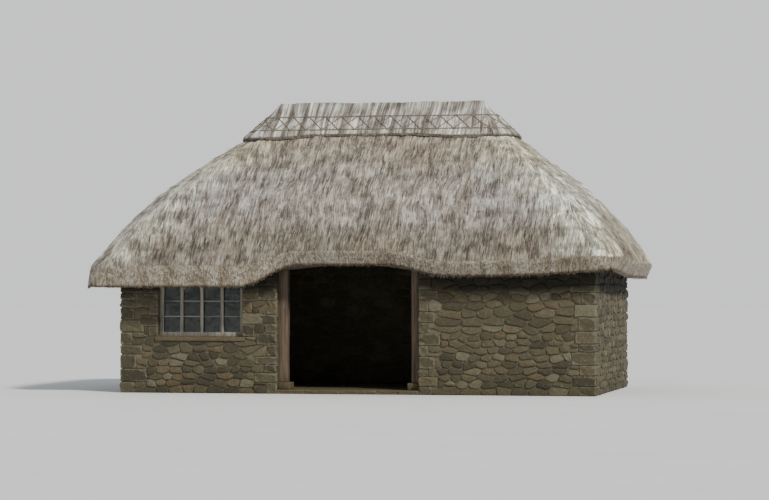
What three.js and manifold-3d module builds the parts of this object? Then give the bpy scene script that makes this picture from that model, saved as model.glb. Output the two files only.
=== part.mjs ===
// Thatched garden cottage: one storey of rubble stone under a hipped thatched roof, with an open
// bay and a mullioned window at the front and a window at the back.
// Millimetres, +Z up. The front looks towards -Y, the ridge runs along X, and the origin lies at
// ground level under the middle of the floor.

import * as THREE from "three";
import { mergeVertices } from "three/addons/utils/BufferGeometryUtils.js";
import Module from "manifold-3d";

const wasm = await Module();
wasm.setup();

// Walls
const WALL_X = 3800; // half the length over the outer faces
const WALL_Y = 2100; // half the depth over the outer faces
const WALL = 400; // thickness
const WALL_HEAD = 2100; // top of the inner leaf, which carries the wall plates
const OUTER_LEAF = 100; // outer part of the wall, built up to the thatch
const BAY = { left: -1250, right: 1050 }; // jambs of the open bay

// Windows
const WINDOW = { width: 1400, sill: 900, head: 1780, lights: 4 };
const FRONT_WINDOW_X = -2500; // middle of the front window
const BACK_WINDOW_X = 2500; // middle of the back window
const FRAME = { depth: 80, stile: 70, mullion: 50, setBack: 100 };
const GLASS = 6;
const LINTEL = { height: 150, bearing: 200 };
const SILL = { height: 70, proud: 40, ear: 40 };

// Floor, bay posts and the beam over the bay
const FLOOR = 60;
const POST = 150;
const POST_SET_BACK = 125; // front face of the post behind the wall face
const PADSTONE = { width: 210, depth: 230, height: 120 };
const BEAM = { soffit: 1960, crown: 2040, width: 200, setBack: 110, bearing: 150 };

// Thatch
const EAVE_OUT = 450; // upper edge of the eave beyond the wall face
const EAVE_X = WALL_X + EAVE_OUT;
const EAVE_Y = WALL_Y + EAVE_OUT;
const RIDGE_HALF = EAVE_X - EAVE_Y; // hips at the same pitch as the long slopes
const EAVE_BOTTOM = 1830; // lower edge of the eave cut
const EAVE_FACE = 230; // height of the cut edge
const EAVE_LEAN = 130; // how far the cut edge leans in under the eave
const COAT_TOP = 4640; // top of the main coat at the ridge
const BULGE = 0.7; // how much the lower part of the coat swells over a flat slope
const RAFTER_RISE = 1.02; // tangent of the rafter pitch
const HIP_ROUND = 520; // radius of the coat round the hips
const HIP_ROUND_SHARE = 0.85; // and the most of the half depth that it takes near the ridge
const UNDER_ROUND = 60; // radius of the underside at the hips
const RINGS = [0, 0.05, 0.12, 0.21, 0.32, 0.46, 0.61, 0.755, 0.86, 0.94, 1]; // heights up the slope

// The eave is swept up over the bay, rises a little towards the front right corner and runs lower
// round the front left one, where its face is taller and almost plumb.
const SWEEP = { rise: 170, from: -1700, to: 1500, run: 900 };
const RAISED_CORNER = { rise: 100, from: 2300, endRun: 2600 };
const LOW_EAVE = { drop: 165, from: -950, run: 750, endFrom: -1900, endRun: 1800 };
const LOW_FACE = { out: 0.35, down: 0.25 }; // how far its upper edge follows, as shares of the drop

// Ridge cap, a thick block of thatch over the top of the coat
const CAP_FROM = 0.755; // the ring that it starts at
const CAP_THICK = [70, 80, 90, 110]; // above the coat, ring by ring up to the ridge

// Roof timbers
const RAFTER = { width: 75, depth: 100, foot: 110 };
const RAFTER_SPACING = RIDGE_HALF / 4;
const PLATE = { width: 150, height: 120, setBack: 150 };
const HIP = { width: 60, depth: 180, drop: 45, foot: 160, head: 45 };
const RIDGE_BOARD = { width: 40, depth: 200, over: 18 };
const PURLIN = { at: 1050, width: 100, depth: 140, notch: 30 };
const TIE = { width: 150, depth: 200 };
const KING_POST = 120;
const STRUT = { size: 100, foot: 650 };

const GAP = 0.3; // between pieces that touch
const FAR = 6000;

const material = (color, roughness) => new THREE.MeshStandardMaterial({ color, roughness, metalness: 0 });
const stone = material(0x8d8470, 0.95);
const dressedStone = material(0xa39a86, 0.9);
const oak = material(0x6b5a45, 0.85);
const thatch = material(0x9a9285, 1);
const ridgeThatch = material(0xa39b8c, 1);
const glass = new THREE.MeshStandardMaterial({
  color: 0x9fb0ae,
  roughness: 0.1,
  metalness: 0,
  transparent: true,
  opacity: 0.35,
});

// Geometry to solid and back

function solidOf(geometry) {
  const bare = (geometry.index ? geometry.toNonIndexed() : geometry.clone())
    .deleteAttribute("normal")
    .deleteAttribute("uv");
  const merged = mergeVertices(bare, 1e-3);
  const index = merged.index.array;
  const kept = [];
  for (let i = 0; i < index.length; i += 3) {
    const [a, b, c] = [index[i], index[i + 1], index[i + 2]];
    if (a !== b && b !== c && c !== a) kept.push(a, b, c);
  }
  return new wasm.Manifold(
    new wasm.Mesh({
      numProp: 3,
      vertProperties: merged.attributes.position.array,
      triVerts: new Uint32Array(kept),
    }),
  );
}

function geometryOf(solid) {
  const mesh = solid.getMesh();
  const geometry = new THREE.BufferGeometry();
  geometry.setAttribute("position", new THREE.BufferAttribute(mesh.vertProperties, 3));
  geometry.setIndex(new THREE.BufferAttribute(mesh.triVerts, 1));
  const flat = geometry.toNonIndexed();
  flat.computeVertexNormals();
  return flat;
}

const join = (solids) => solids.reduce((all, one) => all.add(one));
const cut = (solid, tools) => tools.reduce((rest, tool) => rest.subtract(tool), solid);

// A block between two corners, and the same block grown on every side for cutting its seat.
function block([x0, y0, z0], [x1, y1, z1], grow = 0) {
  const geometry = new THREE.BoxGeometry(x1 - x0 + 2 * grow, y1 - y0 + 2 * grow, z1 - z0 + 2 * grow);
  geometry.translate((x0 + x1) / 2, (y0 + y1) / 2, (z0 + z1) / 2);
  return solidOf(geometry);
}

// A profile drawn as (along, up), extruded to a thickness and laid along a heading from a point.
function plank(profile, thickness, from = [0, 0], heading = 0) {
  const shape = new THREE.Shape(profile.map(([along, up]) => new THREE.Vector2(along, up)));
  const geometry = new THREE.ExtrudeGeometry(shape, { depth: thickness, bevelEnabled: false });
  geometry.translate(0, 0, -thickness / 2);
  geometry.rotateX(Math.PI / 2);
  geometry.rotateZ(heading);
  geometry.translate(from[0], from[1], 0);
  return solidOf(geometry);
}

// Shape of the roof

const ease = (u) => {
  const v = Math.min(1, Math.max(0, u));
  return v * v * (3 - 2 * v);
};

// How far the eave is lifted at a point along the front.
const sweepAt = (x) =>
  SWEEP.rise * ease((x - SWEEP.from) / SWEEP.run) * ease((SWEEP.to - x) / SWEEP.run);

function raisedCornerAt(x, y) {
  const front = ease((x - RAISED_CORNER.from) / (EAVE_X - RAISED_CORNER.from));
  const end = 1 - ease((y + EAVE_Y) / RAISED_CORNER.endRun);
  return RAISED_CORNER.rise * front * end;
}

// How far the front slope and the left hip run on down past the common eave line.
function lowEaveAt(x, y) {
  if (x > -RIDGE_HALF && y > 0) return 0;
  const front = ease((LOW_EAVE.from - x) / LOW_EAVE.run);
  const end = 1 - ease((y - LOW_EAVE.endFrom) / LOW_EAVE.endRun);
  return LOW_EAVE.drop * front * end;
}

// The stations round the eave, anticlockwise from above. Each gives its place for a level curve of
// half sizes hx and hy and corner radius r. Between the ridge ends they run straight up the slope.
const CORNER_STEPS = 5;
const END_SHARES = [-0.66, -0.33, 0, 0.33, 0.66];
const BEYOND_SHARES = [0.25, 0.5, 0.75];
const RIDGE_STEPS = 16;

function longSide(sign) {
  const beyond = (side, share) => (hx, hy, r) => [
    side * (RIDGE_HALF + share * (hx - r - RIDGE_HALF)),
    sign * hy,
    0,
    sign,
  ];
  const between = Array.from({ length: RIDGE_STEPS + 1 }, (_, i) => {
    const x = RIDGE_HALF * ((2 * i) / RIDGE_STEPS - 1);
    return (hx, hy) => [x, sign * hy, 0, sign];
  });
  const all = [
    ...[...BEYOND_SHARES].reverse().map((share) => beyond(-1, share)),
    ...between,
    ...BEYOND_SHARES.map((share) => beyond(1, share)),
  ];
  return sign < 0 ? all : all.reverse();
}

function shortSide(sign) {
  const all = END_SHARES.map((share) => (hx, hy, r) => [sign * hx, share * (hy - r), sign, 0]);
  return sign > 0 ? all : all.reverse();
}

function corner(signX, signY, start) {
  return Array.from({ length: CORNER_STEPS + 1 }, (_, i) => {
    const angle = start + ((Math.PI / 2) * i) / CORNER_STEPS;
    const [nx, ny] = [Math.cos(angle), Math.sin(angle)];
    return (hx, hy, r) => [signX * (hx - r) + r * nx, signY * (hy - r) + r * ny, nx, ny];
  });
}

const STATIONS = [
  ...longSide(-1),
  ...corner(1, -1, -Math.PI / 2),
  ...shortSide(1),
  ...corner(1, 1, 0),
  ...longSide(1),
  ...corner(-1, 1, Math.PI / 2),
  ...shortSide(-1),
  ...corner(-1, -1, Math.PI),
];

// Height up the coat: steep over the eave, and at an even pitch from there to the ridge.
const coatRise = (t) => (COAT_TOP - EAVE_BOTTOM - EAVE_FACE) * (t + BULGE * t * (1 - t) ** 2);
const UNDER_X = EAVE_X - EAVE_LEAN;
const UNDER_Y = EAVE_Y - EAVE_LEAN;
const UNDER_RISE = UNDER_Y * RAFTER_RISE;

const liftAt = (station) => {
  const [x, y] = station(EAVE_X, EAVE_Y, HIP_ROUND);
  return (y === -EAVE_Y ? sweepAt(x) : 0) + raisedCornerAt(x, y);
};
const lowAt = (station) => {
  const [x, y] = station(EAVE_X, EAVE_Y, HIP_ROUND);
  return lowEaveAt(x, y);
};

// A level curve of the coat's outer face, t of the way up, raised by extra.
function coatRing(t, extra = 0) {
  const hy = EAVE_Y * (1 - t);
  const r = Math.min(HIP_ROUND, HIP_ROUND_SHARE * hy);
  return STATIONS.map((station) => {
    const [x, y, nx, ny] = station(RIDGE_HALF + hy, hy, r);
    const low = t === 0 ? lowAt(station) : 0;
    const out = low * LOW_FACE.out;
    const z = EAVE_BOTTOM + EAVE_FACE + coatRise(t) + liftAt(station) * (1 - t);
    return new THREE.Vector3(x + nx * out, y + ny * out, z - low * LOW_FACE.down + extra);
  });
}

// A level curve of the coat's underside, which is straight from the eave to the ridge.
function underRing(t, extra = 0) {
  const hy = UNDER_Y * (1 - t);
  return STATIONS.map((station) => {
    const [x, y, nx, ny] = station(RIDGE_HALF + hy, hy, UNDER_ROUND * (1 - t));
    const low = t === 0 ? lowAt(station) : 0;
    const z = EAVE_BOTTOM + UNDER_RISE * t + liftAt(station) * (1 - t);
    return new THREE.Vector3(x + nx * low, y + ny * low, z - low * RAFTER_RISE + extra);
  });
}

// Joins level curves, listed from the bottom up, into one closed shell: down the inner face, then
// up the outer one. Both faces are split along the same diagonals, so that shells laid against
// each other match.
function shell(outer, inner = []) {
  const rings = [...inner.slice().reverse(), ...outer];
  const corners = [];
  for (let i = 0; i + 1 < rings.length; i++) {
    const [a, b] = [rings[i], rings[i + 1]];
    const goesDown = i + 1 < inner.length;
    a.forEach((corner, k) => {
      const next = (k + 1) % a.length;
      if (goesDown) corners.push(corner, a[next], b[k], a[next], b[next], b[k]);
      else corners.push(corner, a[next], b[next], corner, b[next], b[k]);
    });
  }
  return solidOf(new THREE.BufferGeometry().setFromPoints(corners));
}

// The space under the thatch, down past the ground, that walls and timbers are trimmed to.
function spaceUnderThatch() {
  const [eave, top] = [underRing(0, -GAP), underRing(1, -GAP)];
  const ground = eave.map((p) => new THREE.Vector3(p.x, p.y, -WALL));
  const middle = top.map((p) => new THREE.Vector3(p.x, 0, -WALL));
  return shell([middle, ground, eave, top]);
}
const underThatch = spaceUnderThatch();

// Thatch: one coat, parted at the ridge and the hips into its four slopes

function coatSlopes() {
  const coat = shell(
    RINGS.map((t) => coatRing(t)),
    [underRing(0), underRing(1)],
  );
  const blade = (x, heading) =>
    plank([[0, 0], [FAR, 0], [FAR, FAR], [0, FAR]], GAP * 2, [x, 0], heading);
  const blades = [
    plank([[-RIDGE_HALF, 0], [RIDGE_HALF, 0], [RIDGE_HALF, FAR], [-RIDGE_HALF, FAR]], GAP * 2),
    blade(RIDGE_HALF, Math.PI / 4),
    blade(RIDGE_HALF, -Math.PI / 4),
    blade(-RIDGE_HALF, (3 * Math.PI) / 4),
    blade(-RIDGE_HALF, (-3 * Math.PI) / 4),
  ];
  const slopes = {};
  for (const piece of cut(coat, blades).decompose()) {
    const box = piece.boundingBox();
    const [x, y] = [box.min[0] + box.max[0], box.min[1] + box.max[1]];
    if (Math.abs(x) > Math.abs(y)) slopes[x > 0 ? "right_hip" : "left_hip"] = piece;
    else slopes[y > 0 ? "back" : "front"] = piece;
  }
  return slopes;
}

function ridgeCap() {
  const rings = RINGS.filter((t) => t >= CAP_FROM);
  return shell(
    rings.map((t, i) => coatRing(t, CAP_THICK[i])),
    rings.map((t) => coatRing(t, GAP)),
  );
}

// Timbers

// Height of the underside of the thatch over a point of a long slope, or of an end slope.
const underLong = (x, y) => {
  const t = (UNDER_Y - Math.abs(y)) / UNDER_Y;
  const lift = y < 0 ? Math.min(sweepAt(x - RAFTER.width / 2), sweepAt(x + RAFTER.width / 2)) : 0;
  const corner = y < 0 ? raisedCornerAt(x, -EAVE_Y) : 0;
  return EAVE_BOTTOM + UNDER_RISE * t + (lift + corner) * (1 - t);
};
const underEnd = (x) => EAVE_BOTTOM + (UNDER_X - Math.abs(x)) * RAFTER_RISE;
const RAFTER_DROP = RAFTER.depth * Math.hypot(1, RAFTER_RISE); // its depth measured plumb
const HIP_DROP = HIP.depth * Math.hypot(1, RAFTER_RISE / Math.SQRT2);

// A timber whose top edge runs from one height to another, with plumb ends.
const raked = (run, zFrom, zTo, drop, width, from, heading) =>
  plank([[0, zFrom - drop], [run, zTo - drop], [run, zTo], [0, zFrom]], width, from, heading);

// A rafter on the long slopes, from its foot over the wall to a given distance from the ridge line.
function longRafter(x, side, stop) {
  const foot = WALL_Y - RAFTER.foot;
  return raked(
    foot - stop,
    underLong(x, side * foot) - GAP,
    underLong(x, side * stop) - GAP,
    RAFTER_DROP,
    RAFTER.width,
    [x, side * foot],
    (-side * Math.PI) / 2,
  );
}

function endRafter(y, side, stop) {
  const foot = WALL_X - RAFTER.foot;
  return raked(
    foot - stop,
    underEnd(foot) - GAP,
    underEnd(stop) - GAP,
    RAFTER_DROP,
    RAFTER.width,
    [side * foot, y],
    side > 0 ? Math.PI : 0,
  );
}

const rafterPlaces = (first, limit) => {
  const places = [];
  for (let at = first; at < limit; at += RAFTER_SPACING) places.push(at);
  return places;
};
const apex = EAVE_BOTTOM + UNDER_RISE;
const ridgeBoardTop = apex - (RIDGE_BOARD.width / 2) * RAFTER_RISE - GAP;

function ridgeBoard(grow = 0) {
  const half = RIDGE_HALF + RIDGE_BOARD.over;
  return block(
    [-half, -RIDGE_BOARD.width / 2, ridgeBoardTop - RIDGE_BOARD.depth],
    [half, RIDGE_BOARD.width / 2, ridgeBoardTop],
    grow,
  );
}

// A hip rafter with the jack rafters that it carries on both sides.
function hipAndJacks(signX, signY) {
  const foot = WALL_Y - HIP.foot;
  const topAt = (distance) => EAVE_BOTTOM + (UNDER_Y - distance) * RAFTER_RISE - HIP.drop;
  const hip = raked(
    (foot - HIP.head) * Math.SQRT2,
    topAt(foot),
    topAt(HIP.head),
    HIP_DROP,
    HIP.width,
    [signX * (RIDGE_HALF + foot), signY * foot],
    Math.atan2(-signY, -signX),
  );
  const jacks = [];
  for (const x of rafterPlaces(RIDGE_HALF + RAFTER_SPACING / 2, WALL_X - WALL))
    jacks.push(longRafter(signX * x, signY, x - RIDGE_HALF));
  for (const y of rafterPlaces(RAFTER_SPACING, WALL_Y - WALL))
    jacks.push(endRafter(signY * y, signX, RIDGE_HALF + y));
  return join([hip, ...jacks]);
}

// Underside of the rafters at a distance from the ridge line, without the sweep.
const rafterSeat = (distance) => EAVE_BOTTOM + (UNDER_Y - distance) * RAFTER_RISE - RAFTER_DROP;

// A front timber whose top rises with the swept rafters and whose soffit may be arched.
function cambered(x0, x1, y, width, soffit, top, lift) {
  const steps = 24;
  const xs = Array.from({ length: steps + 1 }, (_, i) => x0 + ((x1 - x0) * i) / steps);
  const along = (height) => {
    const line = xs.map((x) => [x, height(x)]);
    const bends = ([, z], i) => i === 0 || i === steps || z !== line[i - 1][1] || z !== line[i + 1][1];
    return line.filter(bends);
  };
  const profile = [...along(soffit), ...along((x) => top + lift * sweepAt(x)).reverse()];
  return plank(profile, width, [0, y]);
}

// Four purlins make a ring under the rafters, which are notched over them. The rafters between the
// hips are one solid with the purlin that carries them.
const purlinNear = PURLIN.at - PURLIN.width / 2;
const purlinFar = PURLIN.at + PURLIN.width / 2;
const purlinTop = rafterSeat(purlinFar) + PURLIN.notch;

function longPurlin(side, grow = 0) {
  const half = RIDGE_HALF + purlinFar + grow;
  const lift = side < 0 ? purlinNear / UNDER_Y : 0;
  const soffit = () => purlinTop - PURLIN.depth - grow;
  const width = PURLIN.width + 2 * grow;
  return cambered(-half, half, side * PURLIN.at, width, soffit, purlinTop + grow, lift);
}

function endPurlin(side, grow = 0) {
  const half = purlinNear - GAP;
  const [near, far] = [RIDGE_HALF + purlinNear, RIDGE_HALF + purlinFar];
  const [x0, x1] = side > 0 ? [near, far] : [-far, -near];
  return block([x0, -half, purlinTop - PURLIN.depth], [x1, half, purlinTop], grow);
}

function longRafters(side) {
  const rafters = rafterPlaces(RAFTER_SPACING / 2, RIDGE_HALF).flatMap((x) => [
    longRafter(x, side, RIDGE_BOARD.width / 2 + GAP),
    longRafter(-x, side, RIDGE_BOARD.width / 2 + GAP),
  ]);
  return join([longPurlin(side), ...rafters]);
}

const endRafters = (side) =>
  join([endPurlin(side), endRafter(0, side, RIDGE_HALF + RIDGE_BOARD.over + GAP)]);

// Clearance round the middle rafter of an end, where the hip rafters meet it.
function endRafterClearance(side) {
  const half = RAFTER.width / 2 + GAP;
  const [x0, x1] = side > 0 ? [RIDGE_HALF, FAR] : [-FAR, -RIDGE_HALF];
  return block([x0, -half, 0], [x1, half, FAR]);
}

// The beam over the open bay: an arched soffit, and a top that rises with the sweep.
const plateTop = WALL_HEAD + GAP + PLATE.height;
const beamEnds = [BAY.left - BEAM.bearing, BAY.right + BEAM.bearing];
const beamY = -(WALL_Y - BEAM.setBack - BEAM.width / 2);

function bayBeam() {
  const archFrom = BAY.left + PADSTONE.width;
  const archTo = BAY.right - PADSTONE.width;
  const soffit = (x) => {
    const u = (x - archFrom) / (archTo - archFrom);
    const rise = u > 0 && u < 1 ? Math.sin(Math.PI * u) : 0;
    return BEAM.soffit + (BEAM.crown - BEAM.soffit) * rise;
  };
  const lift = (WALL_Y - BEAM.setBack - BEAM.width) / UNDER_Y;
  return cambered(beamEnds[0], beamEnds[1], beamY, BEAM.width, soffit, plateTop, lift);
}

const plateOuter = WALL_Y - PLATE.setBack;
const plateInner = plateOuter - PLATE.width;
const plateEnd = WALL_X - PLATE.setBack;

const plates = {
  front_left: [[-plateEnd, -plateOuter], [beamEnds[0] - GAP, -plateInner]],
  front_right: [[beamEnds[1] + GAP, -plateOuter], [plateEnd, -plateInner]],
  back: [[-plateEnd, plateInner], [plateEnd, plateOuter]],
  left: [[-plateEnd, -plateInner + GAP], [-plateEnd + PLATE.width, plateInner - GAP]],
  right: [[plateEnd - PLATE.width, -plateInner + GAP], [plateEnd, plateInner - GAP]],
};
const plateSolid = ([[x0, y0], [x1, y1]], grow = 0) =>
  block([x0, y0, WALL_HEAD + GAP], [x1, y1, plateTop], grow);

const tieBottom = plateTop + GAP;
const tieTop = tieBottom + TIE.depth;
const tieBlock = (side, grow = 0) =>
  block(
    [side * RIDGE_HALF - TIE.width / 2, -plateOuter, tieBottom],
    [side * RIDGE_HALF + TIE.width / 2, plateOuter, tieTop],
    grow,
  );
const kingBlock = (side, grow = 0) =>
  block(
    [side * RIDGE_HALF - KING_POST / 2, -KING_POST / 2, tieTop + GAP],
    [side * RIDGE_HALF + KING_POST / 2, KING_POST / 2, ridgeBoardTop - RIDGE_BOARD.depth - GAP],
    grow,
  );

// A raking strut from the tie beam up to a purlin, cut level at both ends.
function strut(sideX, sideY) {
  const half = STRUT.size / 2;
  const [low, high] = [tieTop + GAP, purlinTop - PURLIN.depth - GAP];
  return plank(
    [
      [STRUT.foot - half, low],
      [STRUT.foot + half, low],
      [PURLIN.at + half, high],
      [PURLIN.at - half, high],
    ],
    STRUT.size,
    [sideX * RIDGE_HALF, 0],
    (sideY * Math.PI) / 2,
  );
}

// Windows, drawn for the front wall and turned round for the back one

const windowFront = -WALL_Y + FRAME.setBack;

function windowFrame(x) {
  const [left, right] = [x - WINDOW.width / 2 + GAP, x + WINDOW.width / 2 - GAP];
  const [low, high] = [WINDOW.sill + GAP, WINDOW.head - GAP];
  const ring = cut(block([left, windowFront, low], [right, windowFront + FRAME.depth, high]), [
    block(
      [left + FRAME.stile, windowFront - FRAME.depth, low + FRAME.stile],
      [right - FRAME.stile, windowFront + 2 * FRAME.depth, high - FRAME.stile],
    ),
  ]);
  const pitch = (WINDOW.width - FRAME.stile) / WINDOW.lights;
  const mullions = [];
  for (let i = 1; i < WINDOW.lights; i++) {
    const middle = left + FRAME.stile / 2 + pitch * i;
    mullions.push(
      block(
        [middle - FRAME.mullion / 2, windowFront, low],
        [middle + FRAME.mullion / 2, windowFront + FRAME.depth / 2, high],
      ),
    );
  }
  return join([ring, ...mullions]);
}

function windowGlass(x) {
  const half = WINDOW.width / 2 - FRAME.stile - 2 * GAP;
  const y = windowFront + FRAME.depth / 2 + GAP;
  const [low, high] = [WINDOW.sill + FRAME.stile + 2 * GAP, WINDOW.head - FRAME.stile - 2 * GAP];
  return block([x - half, y, low], [x + half, y + GLASS, high]);
}

function windowLintel(x, grow = 0) {
  const half = WINDOW.width / 2 + LINTEL.bearing;
  return block(
    [x - half, -WALL_Y - (grow ? WALL : 0), WINDOW.head],
    [x + half, -WALL_Y + WALL + (grow ? WALL : 0), WINDOW.head + LINTEL.height],
    grow,
  );
}

function windowSill(x, grow = 0) {
  const half = WINDOW.width / 2 + SILL.ear;
  return block(
    [x - half, -WALL_Y - SILL.proud, WINDOW.sill - SILL.height],
    [x + half, windowFront + FRAME.depth, WINDOW.sill],
    grow,
  );
}

const windowHole = (x) =>
  block(
    [x - WINDOW.width / 2, -WALL_Y - WALL, WINDOW.sill],
    [x + WINDOW.width / 2, -WALL_Y + 2 * WALL, WINDOW.head],
  );

const windowCuts = (x) => [windowHole(x), windowLintel(x, GAP), windowSill(x, GAP)];
const halfTurn = (solid) => solid.rotate([0, 0, 180]);

// Walls: an inner leaf up to the plates and an outer leaf up to the thatch

function wall([x0, y0], [x1, y1], [ox0, oy0], [ox1, oy1], cuts = []) {
  const inner = block([x0, y0, 0], [x1, y1, WALL_HEAD]);
  const outer = block([ox0, oy0, 0], [ox1, oy1, WALL_HEAD + WALL]);
  return cut(join([inner, outer]).intersect(underThatch), cuts);
}

const innerY = WALL_Y - WALL;
const leafY = WALL_Y - OUTER_LEAF;
const leafX = WALL_X - OUTER_LEAF;
const beam = bayBeam();
const beamSeat = cambered(
  beamEnds[0] - GAP,
  beamEnds[1] + GAP,
  beamY,
  BEAM.width + 2 * GAP,
  () => BEAM.soffit - GAP,
  plateTop + GAP,
  1,
);

const frontWall = (x0, x1, cuts) =>
  wall([x0, -WALL_Y], [x1, -innerY], [x0, -WALL_Y], [x1, -leafY], [beamSeat, ...cuts]);
const backWall = wall(
  [-WALL_X, innerY],
  [WALL_X, WALL_Y],
  [-WALL_X, leafY],
  [WALL_X, WALL_Y],
  windowCuts(-BACK_WINDOW_X).map(halfTurn),
);
function endWall(side) {
  const [faceX, backX] = [side * WALL_X, side * (WALL_X - WALL)];
  const half = innerY - GAP;
  const span = (a, b) => [Math.min(a, b), Math.max(a, b)];
  const [x0, x1] = span(faceX, backX);
  const [ox0, ox1] = span(faceX, side * leafX);
  return wall([x0, -half], [x1, half], [ox0, -half], [ox1, half]);
}

// Floor, with a tongue that fills the threshold of the bay
function floorSlab() {
  const room = block(
    [-WALL_X + WALL + GAP, -innerY + GAP, 0],
    [WALL_X - WALL - GAP, innerY - GAP, FLOOR],
  );
  const threshold = block([BAY.left + GAP, -WALL_Y, 0], [BAY.right - GAP, -innerY + WALL, FLOOR]);
  return join([room, threshold]);
}

// Assembly

const cottage = new THREE.Group();
const groups = {};
for (const name of ["base", "bay", "windows", "timbers", "roof"]) {
  groups[name] = new THREE.Group();
  cottage.add(groups[name]);
}

function place(group, name, shape, finish, position = [0, 0, 0]) {
  const mesh = new THREE.Mesh(shape.isBufferGeometry ? shape : geometryOf(shape), finish);
  mesh.name = name;
  mesh.position.set(...position);
  groups[group].add(mesh);
}

place("base", "back_wall", backWall, stone);
place("base", "left_wall", endWall(-1), stone);
place("base", "right_wall", endWall(1), stone);
place("base", "front_wall_left", frontWall(-WALL_X, BAY.left, windowCuts(FRONT_WINDOW_X)), stone);
place("base", "front_wall_right", frontWall(BAY.right, WALL_X, []), stone);
place("base", "floor", floorSlab(), dressedStone);

place("bay", "bay_beam", beam, oak);
const postHeight = BEAM.soffit - FLOOR - PADSTONE.height - 3 * GAP;
const postY = -(WALL_Y - POST_SET_BACK - POST / 2);
for (const [name, jamb, inward] of [["left", BAY.left, 1], ["right", BAY.right, -1]]) {
  place(
    "bay",
    `padstone_${name}`,
    new THREE.BoxGeometry(PADSTONE.width, PADSTONE.depth, PADSTONE.height),
    dressedStone,
    [jamb + inward * (GAP + PADSTONE.width / 2), postY, FLOOR + GAP + PADSTONE.height / 2],
  );
  place(
    "bay",
    `bay_post_${name}`,
    new THREE.BoxGeometry(POST, POST, postHeight),
    oak,
    [
      jamb + inward * (GAP + POST / 2),
      postY,
      FLOOR + PADSTONE.height + 2 * GAP + postHeight / 2,
    ],
  );
}

const windowPieces = {
  lintel: [windowLintel, oak],
  sill: [windowSill, dressedStone],
  frame: [windowFrame, oak],
  glass: [windowGlass, glass],
};
for (const [piece, [shape, finish]] of Object.entries(windowPieces)) {
  place("windows", `front_window_${piece}`, shape(FRONT_WINDOW_X), finish);
  place("windows", `back_window_${piece}`, halfTurn(shape(-BACK_WINDOW_X)), finish);
}

const plateSeats = Object.values(plates).map((plan) => plateSolid(plan, GAP));
for (const [name, plan] of Object.entries(plates))
  place("timbers", `wall_plate_${name}`, plateSolid(plan), oak);
for (const [name, side] of [["left", -1], ["right", 1]]) {
  place("timbers", `tie_beam_${name}`, tieBlock(side).intersect(underThatch), oak);
  place("timbers", `king_post_${name}`, kingBlock(side), oak);
  for (const [end, sideY] of [["front", -1], ["back", 1]])
    place("timbers", `strut_${name}_${end}`, strut(side, sideY), oak);
}
// Rafters are notched over the plates, the posts and the beam, and stop at the wall head.
const wallHead = block([-FAR, -FAR, 0], [FAR, FAR, WALL_HEAD + GAP]);
const rafterSeats = [...plateSeats, kingBlock(-1, GAP), kingBlock(1, GAP), beamSeat, wallHead];
place("timbers", "ridge_board", ridgeBoard(), oak);
for (const [name, rafters] of [
  ["front", longRafters(-1)],
  ["back", longRafters(1)],
  ["left", endRafters(-1)],
  ["right", endRafters(1)],
])
  place("timbers", `rafters_${name}`, cut(rafters.intersect(underThatch), rafterSeats), oak);

const purlinSeats = [-1, 1].flatMap((side) => [longPurlin(side, GAP), endPurlin(side, GAP)]);
for (const [name, signX, signY] of [
  ["front_left", -1, -1],
  ["front_right", 1, -1],
  ["back_left", -1, 1],
  ["back_right", 1, 1],
]) {
  const seats = [...rafterSeats, ...purlinSeats, ridgeBoard(GAP), endRafterClearance(signX)];
  const hip = cut(hipAndJacks(signX, signY).intersect(underThatch), seats);
  place("timbers", `hip_rafter_${name}`, hip, oak);
}

for (const [name, slope] of Object.entries(coatSlopes())) place("roof", `thatch_${name}`, slope, thatch);
place("roof", "ridge_cap", ridgeCap(), ridgeThatch);

export default cottage;
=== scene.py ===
# %% [markdown]
# # A thatched cottage, dressed for its portrait
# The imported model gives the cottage's walls, timbers and roof as plain solids, in metres, with
# +Z up. This script never moves them. It gives them finishes, or hides one and puts a detailed
# piece in its place, so the size of the building always comes from the model.

import math
import random

import bmesh
import bpy
import numpy as np
from mathutils import Matrix, Vector
from mathutils.bvhtree import BVHTree
from mathutils.kdtree import KDTree


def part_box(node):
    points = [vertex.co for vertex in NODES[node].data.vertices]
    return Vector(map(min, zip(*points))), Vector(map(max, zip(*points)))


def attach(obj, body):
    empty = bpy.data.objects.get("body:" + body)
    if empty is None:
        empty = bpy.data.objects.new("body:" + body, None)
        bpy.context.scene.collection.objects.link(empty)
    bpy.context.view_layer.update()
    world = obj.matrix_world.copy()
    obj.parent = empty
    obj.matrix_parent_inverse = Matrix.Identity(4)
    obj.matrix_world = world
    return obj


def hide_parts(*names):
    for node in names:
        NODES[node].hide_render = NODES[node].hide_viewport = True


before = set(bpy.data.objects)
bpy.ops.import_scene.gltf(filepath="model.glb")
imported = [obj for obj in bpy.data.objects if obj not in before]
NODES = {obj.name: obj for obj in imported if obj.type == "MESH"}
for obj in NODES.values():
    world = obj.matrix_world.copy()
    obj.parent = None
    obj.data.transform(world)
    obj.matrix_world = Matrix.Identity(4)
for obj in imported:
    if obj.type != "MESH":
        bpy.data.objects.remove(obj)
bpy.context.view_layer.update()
UP = Vector((0, 0, 1))

# %% [markdown]
# ## The camera
# The cottage is seen from over forty metres away, at the height of a standing person's eyes and
# a little to the right of its middle. A camera that far off needs a long lens, or the building
# would be a few pixels wide, and a long lens keeps its upright lines parallel. `to_track_quat`
# turns the camera's own -Z axis to the point that it looks at.

# %% Stand the camera far off
EYE = Vector((8.90, -41.68, 1.60))
LOOK_AT = Vector((0.05, 0.0, 2.30))
LENS = 121.0

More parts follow.
